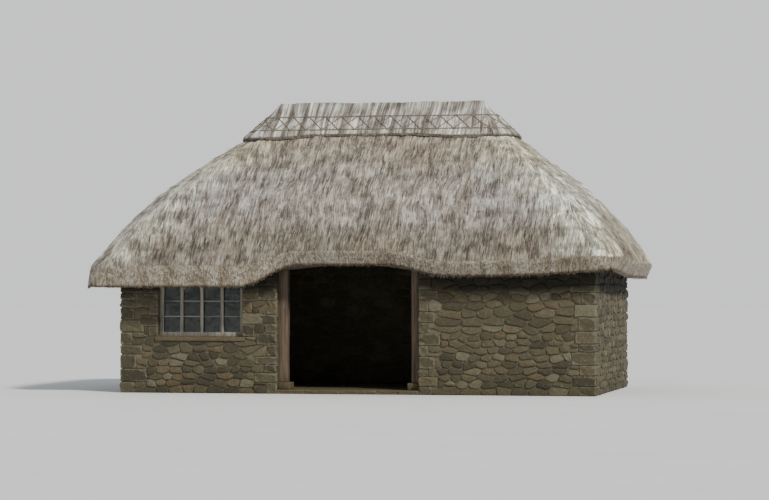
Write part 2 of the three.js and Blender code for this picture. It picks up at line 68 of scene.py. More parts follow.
camera_data = bpy.data.cameras.new("far_camera")
camera_data.lens = LENS
camera = bpy.data.objects.new("far_camera", camera_data)
camera.location = EYE
camera.rotation_mode = "QUATERNION"
camera.rotation_quaternion = (LOOK_AT - EYE).to_track_quat("-Z", "Y")
bpy.context.scene.collection.objects.link(camera)
bpy.context.scene.camera = camera
print("camera:", round((LOOK_AT - EYE).length, 1), "m away with a", LENS, "mm lens")

# %% [markdown]
# ## Light
# Daylight comes from the right and over the camera's shoulder, softened by thin cloud. A sun lamp
# with a wide angle gives that soft edge to each shadow, and a pale world fills the shade, so that
# the space under the eaves stays dark but not black. The world has a second, brighter face that
# only the camera sees: a plain pale backdrop that adds no light of its own.

# %% Light the studio
SUN_FROM = Vector((0.80, -0.66, 0.84))
SUN_STRENGTH = 3.6
SUN_SOFTNESS = math.radians(6)
SUN_COLOUR = (1.0, 0.965, 0.90)
SKY = (0.83, 0.87, 0.92, 1.0)
SKY_STRENGTH = 0.55
BACKGROUND = (0.93, 0.94, 0.95, 1.0)

sun_data = bpy.data.lights.new("soft_sun", "SUN")
sun_data.energy = SUN_STRENGTH
sun_data.angle = SUN_SOFTNESS
sun_data.color = SUN_COLOUR
sun = bpy.data.objects.new("soft_sun", sun_data)
sun.rotation_mode = "QUATERNION"
sun.rotation_quaternion = SUN_FROM.to_track_quat("Z", "Y")
bpy.context.scene.collection.objects.link(sun)

world = bpy.data.worlds.new("studio_sky")
world.use_nodes = True
sky_nodes, sky_links = world.node_tree.nodes, world.node_tree.links
sky_light = sky_nodes["Background"]
sky_light.inputs["Color"].default_value = SKY
sky_light.inputs["Strength"].default_value = SKY_STRENGTH
backdrop = sky_nodes.new("ShaderNodeBackground")
backdrop.inputs["Color"].default_value = BACKGROUND
choose = sky_nodes.new("ShaderNodeMixShader")
ray = sky_nodes.new("ShaderNodeLightPath")
sky_links.new(ray.outputs["Is Camera Ray"], choose.inputs[0])
sky_links.new(sky_light.outputs[0], choose.inputs[1])
sky_links.new(backdrop.outputs[0], choose.inputs[2])
sky_links.new(choose.outputs[0], sky_nodes["World Output"].inputs["Surface"])
bpy.context.scene.world = world
print("light: one sun of", SUN_STRENGTH, "and a sky of", SKY_STRENGTH)

# %% [markdown]
# ## Writing shader nodes by hand
# A material is a graph of nodes. Naming each node and link one by one takes many lines, so this
# small writer makes a node and joins its inputs in one call: an input that is given a socket is
# linked, and any other value is typed in.

# %% A writer for shader graphs
class Graph:
    """Makes nodes in one node tree and links whatever sockets it is given."""

    def __init__(self, tree):
        self.tree = tree

    def feed(self, socket, value):
        """Links another node's output to an input, or types a plain value into it."""
        if isinstance(value, bpy.types.NodeSocket):
            self.tree.links.new(value, socket)
        else:
            socket.default_value = value

    def node(self, kind, inputs=None, **settings):
        """A node with its settings made and its inputs fed."""
        node = self.tree.nodes.new(kind)
        for name, value in settings.items():
            setattr(node, name, value)
        for key, value in (inputs or {}).items():
            self.feed(node.inputs[key], value)
        return node

    def math(self, operation, *values):
        """One step of arithmetic."""
        return self.node("ShaderNodeMath", dict(enumerate(values)), operation=operation).outputs[0]

    def span(self, value, low, high, to_low=0.0, to_high=1.0):
        """Stretches the span from low to high over another one, and holds the value inside it."""
        inputs = {0: value, 1: low, 2: high, 3: to_low, 4: to_high}
        return self.node("ShaderNodeMapRange", inputs, clamp=True).outputs[0]

    def apart(self, vector):
        """The X, Y and Z of a vector."""
        return self.node("ShaderNodeSeparateXYZ", {0: vector}).outputs

    def scaled(self, vector, scale):
        """A vector times a scale for each axis, which stretches the pattern that it feeds."""
        inputs = {0: vector, 1: scale}
        return self.node("ShaderNodeVectorMath", inputs, operation="MULTIPLY").outputs[0]

    def noise(self, vector, scale=1.0, detail=3.0, rough=0.55):
        """Cloudy noise around a half."""
        inputs = {"Vector": vector, "Scale": scale, "Detail": detail, "Roughness": rough}
        return self.node("ShaderNodeTexNoise", inputs).outputs[0]

    def ragged(self, value, vector, scale, amount):
        """A value with some noise added, so that what it borders comes out uneven."""
        return self.math("MULTIPLY_ADD", self.noise(vector, scale), amount, value)

    def cells(self, vector):
        """A random value for each cell of a Voronoi pattern, with crisp borders."""
        node = self.node("ShaderNodeTexVoronoi", {"Vector": vector, "Scale": 1.0})
        return self.node("ShaderNodeSeparateColor", {0: node.outputs["Color"]}).outputs[0]

    def ramp(self, value, *stops):
        """A colour picked from a band of colours, each given with its place on the band."""
        node = self.node("ShaderNodeValToRGB", {0: value})
        band = node.color_ramp
        while len(band.elements) < len(stops):
            band.elements.new(0.5)
        for element, (place, colour) in zip(band.elements, stops):
            element.position = place
            element.color = (*colour, 1.0)
        return node.outputs[0]

    def mix(self, share, first, second, blend="MIX"):
        """The first colour, with a share of the second mixed in or multiplied on."""
        node = self.node("ShaderNodeMix", {0: share}, data_type="RGBA", blend_type=blend)
        for key, colour in ((6, first), (7, second)):
            linked = isinstance(colour, bpy.types.NodeSocket)
            self.feed(node.inputs[key], colour if linked else (*colour, 1.0))
        return node.outputs[2]

    def place(self):
        """Where a point lies on the cottage, in metres."""
        return self.node("ShaderNodeTexCoord").outputs["Object"]

    def attribute(self, name, output="Fac"):
        """A value that is stored on the mesh."""
        return self.node("ShaderNodeAttribute", attribute_name=name).outputs[output]


def new_group(name, inputs, outputs):
    """A node group with the named sockets, and the graph, input and output to fill it."""
    tree = bpy.data.node_groups.new(name, "ShaderNodeTree")
    for in_out, sockets in (("INPUT", inputs), ("OUTPUT", outputs)):
        for socket, kind in sockets.items():
            tree.interface.new_socket(socket, in_out=in_out, socket_type=kind)
    graph = Graph(tree)
    return graph, tree.nodes.new("NodeGroupInput").outputs, tree.nodes.new("NodeGroupOutput")


def use_group(graph, name, inputs=None):
    """The outputs of a node group, with its inputs fed."""
    return graph.node("ShaderNodeGroup", inputs, node_tree=bpy.data.node_groups[name]).outputs


def new_material(name, roughness=0.85):
    """A material with its Principled shader, and the graph to fill it."""
    material = bpy.data.materials.new(name)
    material.use_nodes = True
    shader = material.node_tree.nodes["Principled BSDF"]
    shader.inputs["Roughness"].default_value = roughness
    return material, Graph(material.node_tree), shader


def wire(graph, shader, colour, height=None, depth=0.01):
    """Joins a colour to the shader, and if it is given, a height as a bump."""
    graph.tree.links.new(colour, shader.inputs["Base Color"])
    if height is not None:
        bump = graph.node("ShaderNodeBump", {"Height": height, "Distance": depth, "Strength": 1.0})
        graph.tree.links.new(bump.outputs[0], shader.inputs["Normal"])


print("shader writer: ready")

# %% [markdown]
# ## A floor to stand on
# It gets a faint mottle, because a perfectly even plane looks like a hole in the picture.

# %% Lay the studio floor
FLOOR_RADIUS = 240.0
FLOOR_TONES = (0.3, (0.81, 0.82, 0.82)), (0.7, (0.85, 0.86, 0.86))

floor_material, g, shader = new_material("studio_floor", roughness=0.9)
wire(g, shader, g.ramp(g.noise(g.place(), scale=0.6, detail=4.0), *FLOOR_TONES))

bm = bmesh.new()
bmesh.ops.create_circle(bm, cap_ends=True, segments=96, radius=FLOOR_RADIUS)
floor_mesh = bpy.data.meshes.new("studio_floor")
bm.to_mesh(floor_mesh)
bm.free()
studio_floor = bpy.data.objects.new("studio_floor", floor_mesh)
studio_floor.data.materials.append(floor_material)
bpy.context.scene.collection.objects.link(studio_floor)
print("floor:", FLOOR_RADIUS, "m in radius")

# %% [markdown]
# ## Helpers for pieces
# Each piece is modelled in a bmesh and becomes an object at the origin, with its place in its
# mesh. It rides on the body "root", because nothing on this cottage moves. A node of the model is
# loose triangles, so a copy of it is merged before it is worked on.

# %% Make pieces from meshes
def add_piece(name, source, material, replaces=(), smooth=False):
    """Makes an object of a bmesh or a mesh, rides it on the root body and hides what it replaces.
    """
    if isinstance(source, bmesh.types.BMesh):
        mesh = bpy.data.meshes.new(name)
        source.to_mesh(mesh)
        source.free()
    else:
        mesh = source
        mesh.name = name
    mesh.materials.clear()
    mesh.materials.append(material)
    if smooth:
        mesh.shade_smooth()
    piece = bpy.data.objects.new(name, mesh)
    bpy.context.scene.collection.objects.link(piece)
    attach(piece, "root")
    if replaces:
        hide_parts(*replaces)
    triangles = sum(len(p.vertices) - 2 for p in mesh.polygons)
    print(f"{name}: {triangles} triangles")
    return piece


def merged_copy(*names):
    """A bmesh of whole solids from nodes of loose triangles."""
    bm = bmesh.new()
    for name in names:
        bm.from_mesh(NODES[name].data)
    bmesh.ops.remove_doubles(bm, verts=bm.verts, dist=0.00002)
    return bm


def finish_node(name, material):
    """Gives a node that stays in view its material."""
    node = NODES[name]
    node.data.materials.clear()
    node.data.materials.append(material)


def set_attribute(mesh, name, values, kind="FLOAT"):
    """Writes one value, or one vector, for each point of a mesh."""
    attribute = mesh.attributes.new(name, kind, "POINT")
    field = "vector" if kind == "FLOAT_VECTOR" else "value"
    attribute.data.foreach_set(field, np.asarray(values, np.float32).ravel())


def points_of(mesh):
    """The places of a mesh's points, in rows of x, y and z."""
    found = np.empty(len(mesh.vertices) * 3, np.float32)
    mesh.vertices.foreach_get("co", found)
    return found.reshape(-1, 3).astype(float)


def normals_of(mesh):
    """The smooth normals at a mesh's points."""
    found = np.empty(len(mesh.vertices) * 3, np.float32)
    mesh.vertex_normals.foreach_get("vector", found)
    return found.reshape(-1, 3).astype(float)


def push(mesh, points, normals, moves):
    """Moves each point of a mesh along its normal, and returns the new places."""
    points = points + normals * moves[:, None]
    mesh.vertices.foreach_set("co", points.astype(np.float32).ravel())
    mesh.update()
    return points


def ray_target(mesh, points):
    """A tree of the mesh's faces, to cast rays at."""
    return BVHTree.FromPolygons([tuple(p) for p in points],
                                [tuple(p.vertices) for p in mesh.polygons])


print("piece helpers: ready")

# %% [markdown]
# ## Noise for shaping
# Straw and stone are never regular. A smooth noise for many points at once moves the meshes: it
# gives each corner of a grid a fixed value that looks random, and blends between the corners.
# The value is the tail of a large sine, so nothing is drawn by chance, and the cottage comes out
# the same each time. Another seed gives another noise.

# %% Smooth noise on arrays of points
HASH_WAY = np.array((127.1, 311.7, 74.7))
HASH_SIZE = 43758.5453


def noise_of(points, seed=0.0):
    """Smooth noise from -1 to 1 for an array of points, with one bump for each unit cube."""
    cell = np.floor(points)
    part = points - cell
    part = part * part * (3 - 2 * part)
    total = np.zeros(len(points))
    for corner in np.ndindex(2, 2, 2):
        corner = np.array(corner)
        value = np.sin((cell + corner) @ HASH_WAY + seed) * HASH_SIZE
        value = 2 * (value - np.floor(value)) - 1
        total += value * np.prod(np.where(corner, part, 1 - part), axis=1)
    return total


print("noise at two points:", noise_of(np.array([[0.2, 0.1, 0.5], [3.3, 1.7, 2.2]])))

# %% [markdown]
# ## The straw's direction
# Straw lies straight down the slope, so its streaks run across the front, turn at the rounded
# hip and run down the end. The direction is found from the slope's own smooth normal, which is
# stored on the mesh as "lean". Between front and end it is held in four steps with ragged
# borders, as bundles are laid, because a direction that turned little by little would smear the
# streaks. The group gives coordinates with X across the straw and Y down it, and Z keeps the
# steps apart. The end's own shift keeps it from repeating the pattern of the front.

# %% A node group that follows the straw
TURN_STEP = math.pi / 8
NEARLY_END = 1.5
END_SHIFT = 7.3
DOWN_SLOPE = 1.4
STEP_SHIFT = 3.0


def build_straw_group():
    """Coordinates that lie with the straw, as a node group."""
    g, _, out = new_group("lie_of_straw", {}, {"Lie": "NodeSocketVector"})
    place = g.place()
    spot, lean = g.apart(place), g.apart(g.attribute("lean", "Vector"))
    turn = g.math("ARCTAN2", g.math("ABSOLUTE", lean[0]), g.math("ABSOLUTE", lean[1]))
    uneven = g.math("MULTIPLY_ADD", g.noise(place, 6.0, 2.0), 0.6, -0.3)
    uneven = g.math("MULTIPLY", uneven, g.math("SINE", g.math("MULTIPLY", turn, 2.0)))
    turn = g.math("ADD", g.math("ADD", turn, uneven), TURN_STEP / 2)
    turn = g.math("MAXIMUM", g.math("SNAP", turn, TURN_STEP), 0.0)
    turn = g.math("MINIMUM", turn, math.pi / 2)
    same = g.math("GREATER_THAN", g.math("MULTIPLY", lean[0], lean[1]), 0.0)
    same = g.math("MAXIMUM", same, g.math("GREATER_THAN", turn, NEARLY_END))
    side = g.math("MULTIPLY_ADD", same, 2.0, -1.0)
    along_end = g.math("MULTIPLY", g.math("ADD", spot[1], END_SHIFT), g.math("SINE", turn))
    along_front = g.math("MULTIPLY", spot[0], g.math("COSINE", turn))
    across = g.math("SUBTRACT", along_front, g.math("MULTIPLY", along_end, side))
    across = g.math("MULTIPLY_ADD", g.noise(place, 1.3, 1.0), 0.12, across)
    down = g.math("MULTIPLY", spot[2], DOWN_SLOPE)
    step = g.math("MULTIPLY", turn, STEP_SHIFT)
    lie = g.node("ShaderNodeCombineXYZ", {0: across, 1: down, 2: step})
    g.tree.links.new(lie.outputs[0], out.inputs[0])


build_straw_group()
print("node group: lie_of_straw")

# %% [markdown]
# ## The straws themselves
# Old thatch is grey straw over brown straw. Seen close, each stem is a streak a few millimetres
# wide, in bunches as wide as a finger. Further off, the bundles show as patches a hand wide,
# longer down the slope than across, and the whole roof is mottled. One texture for each of those
# four sizes is added to a tone, and the tone picks the colour. On the trimmed eave the stems are
# cut across, so there the streaks give way to a dense field of dots.

# %% The colours of straw and of its cut ends
SLOPE_TONES = ((0.088, 0.073, 0.060), (0.275, 0.250, 0.224), (0.57, 0.545, 0.50))
RIDGE_TONES = ((0.120, 0.103, 0.084), (0.315, 0.294, 0.262), (0.60, 0.58, 0.535))
STEM_TONES = ((0.10, 0.083, 0.063), (0.235, 0.208, 0.175), (0.50, 0.47, 0.41))
CUT_TONES = ((0.310, 0.275, 0.218), (0.54, 0.49, 0.40))
CUT_STAIN = (0.60, 0.54, 0.46)


def straw_colours(g, lie, place, dark, middle, pale, length=1.0):
    """The straws and patches that all the thatch shares: a colour and a height."""
    bundles = g.noise(g.scaled(lie, (7.5, 3.2 / length, 1.0)), 1.0, 3.0, 0.65)
    bunches = g.cells(g.scaled(lie, (34.0, 4.4 / length, 1.0)))
    straws = g.cells(g.scaled(lie, (88.0, 7.5 / length, 1.0)))
    patches = g.noise(place, 3.1, 3.0, 0.62)
    tone = g.math("MULTIPLY_ADD", bundles, 0.40, -0.06)
    tone = g.math("MULTIPLY_ADD", bunches, 0.15, tone)
    tone = g.math("MULTIPLY_ADD", straws, 0.17, tone)
    tone = g.math("MULTIPLY_ADD", patches, 0.40, tone)
    colour = g.ramp(tone, (0.36, dark), (0.50, middle), (0.64, pale))
    height = g.math("MULTIPLY_ADD", straws, 0.45, g.math("MULTIPLY", bunches, 0.55))
    return colour, g.math("MULTIPLY_ADD", bundles, 0.5, height)


def cut_ends(g, lie, gap):
    """The eave's field of cut stems: pale ends with dark gaps, and how high each stands."""
    ends = g.cells(g.scaled(lie, (62.0, 17.0, 1.0)))
    small = g.cells(g.scaled(lie, (140.0, 60.0, 1.0)))
    tone = g.math("MULTIPLY_ADD", ends, 0.5, g.math("MULTIPLY", small, 0.5))
    colour = g.ramp(tone, (0.20, gap), (0.50, CUT_TONES[0]), (0.85, CUT_TONES[1]))
    patches = g.span(g.noise(g.scaled(lie, (4.5, 1.5, 1.0)), 1.0, 4.0, 0.65), 0.38, 0.62, 0.0, 0.9)
    return g.mix(patches, colour, CUT_STAIN, "MULTIPLY"), tone


print("tones of straw:", len(SLOPE_TONES), "on the slopes and", len(RIDGE_TONES), "on the ridge")

# %% [markdown]
# ## Weathered thatch
# Weather works on a roof by place, and each kind is a share from 0 to 1 that mixes one colour in
# or multiplies it on. The lower slope is browner because it stays wet longer, and so are the
# ends behind their hips. The hips and the tops of the ends stand up to wind and sun and bleach;
# on the right, where the sun falls, they are painted lighter still as painted sunlight, and the
# far part of the right end gets a painted highlight along its rim. Moss grows in patches. A ragged
# line of painted shadow lies under the butt ends where one course of straw ends over the next,
# and the slope just under the ridge cap gets painted shade. The brink of the eave, where the
# water drips off, is darkest, from damp and from painted shade.

# %% Where the weather works
RIDGE_END = 1.70
COURSE_HEIGHT = 0.28


def hip_share(g, place, spot, end):
    """1 along the hips and on the tops of the ends."""
    off_hip = g.math("SUBTRACT", g.math("ABSOLUTE", spot[0]), g.math("ABSOLUTE", spot[1]))
    off_hip = g.ragged(g.math("SUBTRACT", off_hip, RIDGE_END + 0.45), place, 3.0, 0.9)
    top_of_end = g.span(g.ragged(spot[2], place, 2.2, 0.5), 3.05, 3.40)
    hip = g.span(g.math("ABSOLUTE", off_hip), 1.05, 0.25)
    return g.math("MAXIMUM", hip, g.math("MULTIPLY", end, top_of_end))


def bleach_and_sunlight_share(g, place, spot, lean, hip):
    """How far the straw is bleached at the hips, with painted sunlight most on the right and a
    painted highlight on the right end's far part.
    """
    # Painted sunlight: straw turned to the right, towards the sun, is made lighter.
    facing = g.math("MULTIPLY", g.math("ADD", lean[0], g.math("ABSOLUTE", lean[1])), 0.707)
    bleach_and_sunlight = g.math("MULTIPLY", hip, g.span(facing, 0.25, 0.70, 0.25, 1.0))
    # A painted highlight along the far rim of the right end.
    far_rim_highlight = g.span(g.ragged(spot[1], place, 2.4, 0.8), 0.05, 0.50)
    far_rim_highlight = g.math("MULTIPLY", far_rim_highlight, g.span(lean[0], 0.45, 0.60))
    uneven = g.span(g.noise(place, 4.2, 3.0), 0.38, 0.58, 0.55, 1.0)
    return g.math("MULTIPLY", g.math("MAXIMUM", bleach_and_sunlight, far_rim_highlight), uneven)


def course_shadow_lines(g, place, spot, lie, bleach_and_sunlight):
    """Ragged lines of painted shadow under the courses' butt ends, plainest where the straw is pale
    and lit.
    """
    wander = g.math("MULTIPLY", g.noise(place, 0.7, 2.0), 0.9)
    wander = g.ragged(wander, g.scaled(lie, (30.0, 1.5, 1.0)), 1.0, 0.55)
    wander = g.ragged(wander, place, 3.2, 0.35)
    course = g.math("FRACT", g.math("MULTIPLY_ADD", spot[2], 1 / COURSE_HEIGHT, wander))
    line = g.math("MULTIPLY", g.span(course, 0.42, 0.0), g.span(g.noise(place, 4.5), 0.42, 0.55))
    return g.math("MULTIPLY", line, g.math("MULTIPLY_ADD", bleach_and_sunlight, 0.30, 0.40))


print("courses of straw:", COURSE_HEIGHT, "m high")

# %% The thatch's materials
OLD_BROWN, WET_BROWN, END_BROWN = (0.98, 0.90, 0.80), (0.64, 0.61, 0.55), (0.72, 0.67, 0.59)
# Next: bleach with painted sunlight, painted shade under the ridge cap, and painted shade with damp
# at the eave's brink.
BLEACH_AND_SUNLIGHT, RIDGE_CAP_SHADE, BRINK_SHADE_AND_DAMP = (2.65, 2.98, 2.76), (0.90, 0.86, 0.76), (0.30, 0.25, 0.19)
# Moss, then painted shadow under each course's butt ends.
MOSS, COURSE_SHADOW = (0.15, 0.145, 0.080), (0.085, 0.072, 0.058)
# Gaps between cut ends, and last painted shade for the cap's cut face.
EAVE_GAP, CAP_GAP, CAP_EDGE_SHADE = (0.14, 0.117, 0.088), (0.06, 0.05, 0.035), (0.05, 0.04, 0.03)
DARK_RIB, PALE_RIB = (0.44, 0.40, 0.35), (1.62, 1.66, 1.64)


def thatch_material():
    """The slopes: straw, then the weather and painted light and shade on it, then the cut face of
    the eave.
    """
    material, g, shader = new_material("weathered_thatch", roughness=0.95)
    place = g.place()
    spot, lean = g.apart(place), g.apart(g.attribute("lean", "Vector"))
    lie = use_group(g, "lie_of_straw")["Lie"]
    colour, height = straw_colours(g, lie, place, *SLOPE_TONES)
    old = g.span(g.noise(place, 1.3, 3.0), 0.42, 0.62, 0.0, 0.6)
    colour = g.mix(old, colour, OLD_BROWN, "MULTIPLY")
    end = g.span(g.math("ABSOLUTE", lean[0]), 0.45, 0.60)
    hip = hip_share(g, place, spot, end)
    low = g.span(g.ragged(spot[2], place, 1.4, 0.5), 3.10, 2.72)
    low = g.math("MULTIPLY", low, g.math("MULTIPLY_ADD", hip, -0.45, 1.0))
    colour = g.mix(low, colour, WET_BROWN, "MULTIPLY")
    behind_hip = g.math("MULTIPLY", end, g.math("SUBTRACT", 1.0, hip))
    colour = g.mix(behind_hip, colour, END_BROWN, "MULTIPLY")
    # Bleached hips, with painted sunlight on the right and a painted highlight on the right end's
    # far rim.
    bleach_and_sunlight = bleach_and_sunlight_share(g, place, spot, lean, hip)
    colour = g.mix(bleach_and_sunlight, colour, BLEACH_AND_SUNLIGHT, "MULTIPLY")
    # Painted shade on the slope just under the ridge cap.
    high = g.span(g.ragged(spot[2], place, 1.9, 0.5), 3.70, 4.00)
    colour = g.mix(high, colour, RIDGE_CAP_SHADE, "MULTIPLY")
    moss = g.span(g.noise(place, 2.6, 5.0, 0.65), 0.57, 0.70, 0.0, 0.36)
    colour = g.mix(moss, colour, MOSS)
    # Painted shadow under each course's butt ends.
    colour = g.mix(course_shadow_lines(g, place, spot, lie, bleach_and_sunlight), colour, COURSE_SHADOW)
    cut = g.attribute("cut")
    ends, bumps = cut_ends(g, lie, EAVE_GAP)
    colour = g.mix(cut, colour, ends)
    # Painted shade, with some damp, on the eave's underside and lower edge.
    uneven = g.span(g.noise(place, 9.0), 0.2, 0.5, 0.6, 1.0)
    brink_shade_and_damp = g.math("MULTIPLY", g.attribute("brink_shade_and_damp"), uneven)
    colour = g.mix(brink_shade_and_damp, colour, BRINK_SHADE_AND_DAMP, "MULTIPLY")
    height = g.math("MULTIPLY", height, g.math("SUBTRACT", 1.0, cut))
    height = g.math("MULTIPLY_ADD", bumps, cut, height)
    wire(g, shader, colour, height, depth=0.012)
    return material


def ridge_material():
    """Straw bent over the ridge: cleaner than the slopes, in upright light and dark handfuls."""
    material, g, shader = new_material("ridge_straw", roughness=0.95)
    lie = use_group(g, "lie_of_straw")["Lie"]
    colour, height = straw_colours(g, lie, g.place(), *RIDGE_TONES, length=2.2)
    ribs = g.noise(g.scaled(lie, (8.0, 0.3, 1.0)), 1.0, 3.0, 0.6)
    colour = g.mix(g.span(ribs, 0.52, 0.40, 0.0, 0.9), colour, DARK_RIB, "MULTIPLY")
    colour = g.mix(g.span(ribs, 0.50, 0.60), colour, PALE_RIB, "MULTIPLY")
    ends, _ = cut_ends(g, lie, CAP_GAP)
    # The cap's cut face is darkened with painted shade.
    colour = g.mix(g.attribute("cut"), colour, g.mix(0.6, ends, CAP_EDGE_SHADE))
    wire(g, shader, colour, height, depth=0.010)
    return material


def stem_material():
    """Loose stems, each with one tone of its own from the attribute."""
    material, g, shader = new_material("loose_stems", roughness=0.9)
    tone = g.ragged(g.attribute("tone"), g.place(), 40.0, 0.25)
    wire(g, shader, g.ramp(tone, *zip((0.1, 0.55, 1.0), STEM_TONES)))
    return material


THATCH = thatch_material()
RIDGE_STRAW = ridge_material()
STEMS = stem_material()
print("materials:", THATCH.name, RIDGE_STRAW.name, STEMS.name)

# %% [markdown]
# ## Laying the thatch
# The model's four thatch solids meet at the hips with a hair's gap, but real thatch runs round a
# hip without a seam. Their merged copies are remeshed together on a fine grid of voxels, which
# closes the gaps and gives enough points to shape.

# %% Remesh the coat
COAT_VOXEL = 0.023
THATCH_NODES = ("thatch_front", "thatch_back", "thatch_left_hip", "thatch_right_hip")


def remeshed(bm, voxel, smoothing):
    """A mesh of even quads over the solids in a bmesh, smoothed a few times."""
    mesh = bpy.data.meshes.new("raw")
    bm.to_mesh(mesh)
    bm.free()
    raw = bpy.data.objects.new("raw", mesh)
    bpy.context.scene.collection.objects.link(raw)
    remesh = raw.modifiers.new("remesh", "REMESH")
    remesh.mode = "VOXEL"
    remesh.voxel_size = voxel
    shaped = raw.evaluated_get(bpy.context.evaluated_depsgraph_get())
    even = bpy.data.meshes.new_from_object(shaped)
    bpy.data.objects.remove(raw)
    bm = bmesh.new()
    bm.from_mesh(even)
    for _ in range(smoothing):
        bmesh.ops.smooth_vert(bm, verts=bm.verts, factor=0.5, use_axis_x=True, use_axis_y=True,
                              use_axis_z=True)
    bm.to_mesh(even)
    bm.free()
    return even


coat = remeshed(merged_copy(*THATCH_NODES), COAT_VOXEL, 5)
print("coat:", len(coat.vertices), "points")

# %% [markdown]
# The points then move along their normals: a slow swell, as old rafters sag; lumps the size of a
# bundle, longer down the slope; and small steps where bundles and courses of straw end over the
# next. The cut face of the eave is only rough. On the underside over the room the straw is drawn
# back by the depth of a batten, so that battens can lie between it and the rafters.

# %% Shape the coat
BATTEN_DEPTH = 0.025
SWELL, LUMP, BUNDLE, STEP, COURSE, ROUGH = 0.016, 0.009, 0.010, 0.010, 0.006, 0.005
BUNDLE_WIDE, BUNDLE_LONG = 0.14, 0.38
ROOM_X, ROOM_Y = 3.45, 1.75
FAR_AWAY = 9.0


def lie_of(points, lean):
    """The same coordinates that the node group gives: across the straw, down it, and a step."""
    turn = np.arctan2(abs(lean[:, 0]), abs(lean[:, 1]))
    turn += 0.16 * noise_of(points * 6, 3) * np.sin(2 * turn)
    turn = np.clip(np.floor((turn + TURN_STEP / 2) / TURN_STEP) * TURN_STEP, 0, math.pi / 2)
    side = np.where((lean[:, 0] * lean[:, 1] > 0) | (turn > NEARLY_END), 1, -1)
    across = points[:, 0] * np.cos(turn) - side * (points[:, 1] + END_SHIFT) * np.sin(turn)
    return np.column_stack((across, points[:, 2] * DOWN_SLOPE, turn * STEP_SHIFT))


def smooth_steps(value, low, high):
    """Rises softly from 0 at low to 1 at high, or falls where high is the lower one."""
    part = np.clip((value - low) / (high - low), 0, 1)
    return part * part * (3 - 2 * part)


def saw(value):
    """Falls from a half to minus a half over each whole number, and starts again."""
    return 0.5 - (value - np.floor(value))


def bundle_ends(lie):
    """Steps where bundles end, staggered from one column of straw to the next."""
    column = np.floor(lie[:, 0] / BUNDLE_WIDE + 0.5 * noise_of(lie * (3, 2, 1), 14))
    stagger = np.sin(column * 12.9898) * HASH_SIZE
    return saw(lie[:, 1] / BUNDLE_LONG + stagger - np.floor(stagger))


def coat_moves(points, lean, cut):
    """How far each point of the coat moves out along its normal."""
    lie = lie_of(points, lean)
    swell = SWELL * noise_of(points * 1.1, 11) + LUMP * noise_of(points * 3.4, 12)
    broad, slim = noise_of(lie * (8.5, 2.6, 1), 5), noise_of(lie * (19, 5, 1), 8)
    bundle = BUNDLE * broad + 0.5 * BUNDLE * slim + STEP * bundle_ends(lie)
    phase = points[:, 2] / COURSE_HEIGHT + 0.6 * noise_of(points * 0.8, 2)
    course = COURSE * saw(phase) * (0.6 + 0.4 * noise_of(points * 1.7, 4))
    rough = ROUGH * noise_of(points * 27, 6) + 0.8 * ROUGH * noise_of(points * 13, 7)
    moves = swell + (bundle + course) * (1 - cut) + rough * (1 + 1.2 * cut)
    under = lean[:, 2] < -0.3
    over_room = (abs(points[:, 0]) < ROOM_X) & (abs(points[:, 1]) < ROOM_Y)
    moves[under] = 0.35 * moves[under]
    moves[under & over_room] = -BATTEN_DEPTH
    return moves


def eave_brink_shade(points, lean, cut):
    """1 on the eave's underside and lower edge, for painted shade and damp; 0 three fingers above.
    """
    outside = (abs(points[:, 0]) > 3.5) | (abs(points[:, 1]) > 1.8)
    under = np.flatnonzero((lean[:, 2] < -0.6) & outside)
    tree = KDTree(len(under))
    for i in under:
        tree.insert(points[i], i)
    tree.balance()
    away = np.full(len(points), FAR_AWAY)
    for i in np.flatnonzero(cut > 0.5):
        away[i] = tree.find(points[i])[2]
    return smooth_steps(away, 0.055, 0.010)


points, lean = points_of(coat), normals_of(coat)
cut = smooth_steps(lean[:, 2], 0.42, 0.22)
set_attribute(coat, "lean", lean, "FLOAT_VECTOR")
set_attribute(coat, "cut", cut)
# Where the eave gets painted shade and damp.
set_attribute(coat, "brink_shade_and_damp", eave_brink_shade(points, lean, cut))
points = push(coat, points, lean, coat_moves(points, lean, cut))
COAT_TREE = ray_target(coat, points)
print("share of the coat that is cut face:", round(float(cut.mean()), 2))

# %% [markdown]
# One mesh of the whole coat would be too heavy for one piece, and the model has four. So the
# shaped coat is cut along the lines of the hips by upright planes, and each cut is closed with
# one face. The surfaces on both sides of a cut are the same, so no seam shows. The flat underside
# over the room needs no fine quads, so one large face takes their place.

# %% Cut the coat into its four slopes
MIDDLE, LEFT_END, RIGHT_END = (0, 0, 0), (-RIDGE_END, 0, 0), (RIDGE_END, 0, 0)
WEDGES = {
    "front": [(MIDDLE, (0, 1, 0)), (RIGHT_END, (1, 1, 0)), (LEFT_END, (-1, 1, 0))],
    "back": [(MIDDLE, (0, -1, 0)), (RIGHT_END, (1, -1, 0)), (LEFT_END, (-1, -1, 0))],
    "left_hip": [(LEFT_END, (1, -1, 0)), (LEFT_END, (1, 1, 0))],
    "right_hip": [(RIGHT_END, (-1, -1, 0)), (RIGHT_END, (-1, 1, 0))],
}


def wedge(mesh, planes):
    """The part of a mesh behind every plane, closed where it was cut."""
    bm = bmesh.new()
    bm.from_mesh(mesh)
    for point, normal in planes:
        everything = bm.verts[:] + bm.edges[:] + bm.faces[:]
        done = bmesh.ops.bisect_plane(bm, geom=everything, plane_co=point, plane_no=normal,
                                      clear_outer=True)
        rim = [e for e in done["geom_cut"] if isinstance(e, bmesh.types.BMEdge)]
        bmesh.ops.holes_fill(bm, edges=rim, sides=0)
    return bm


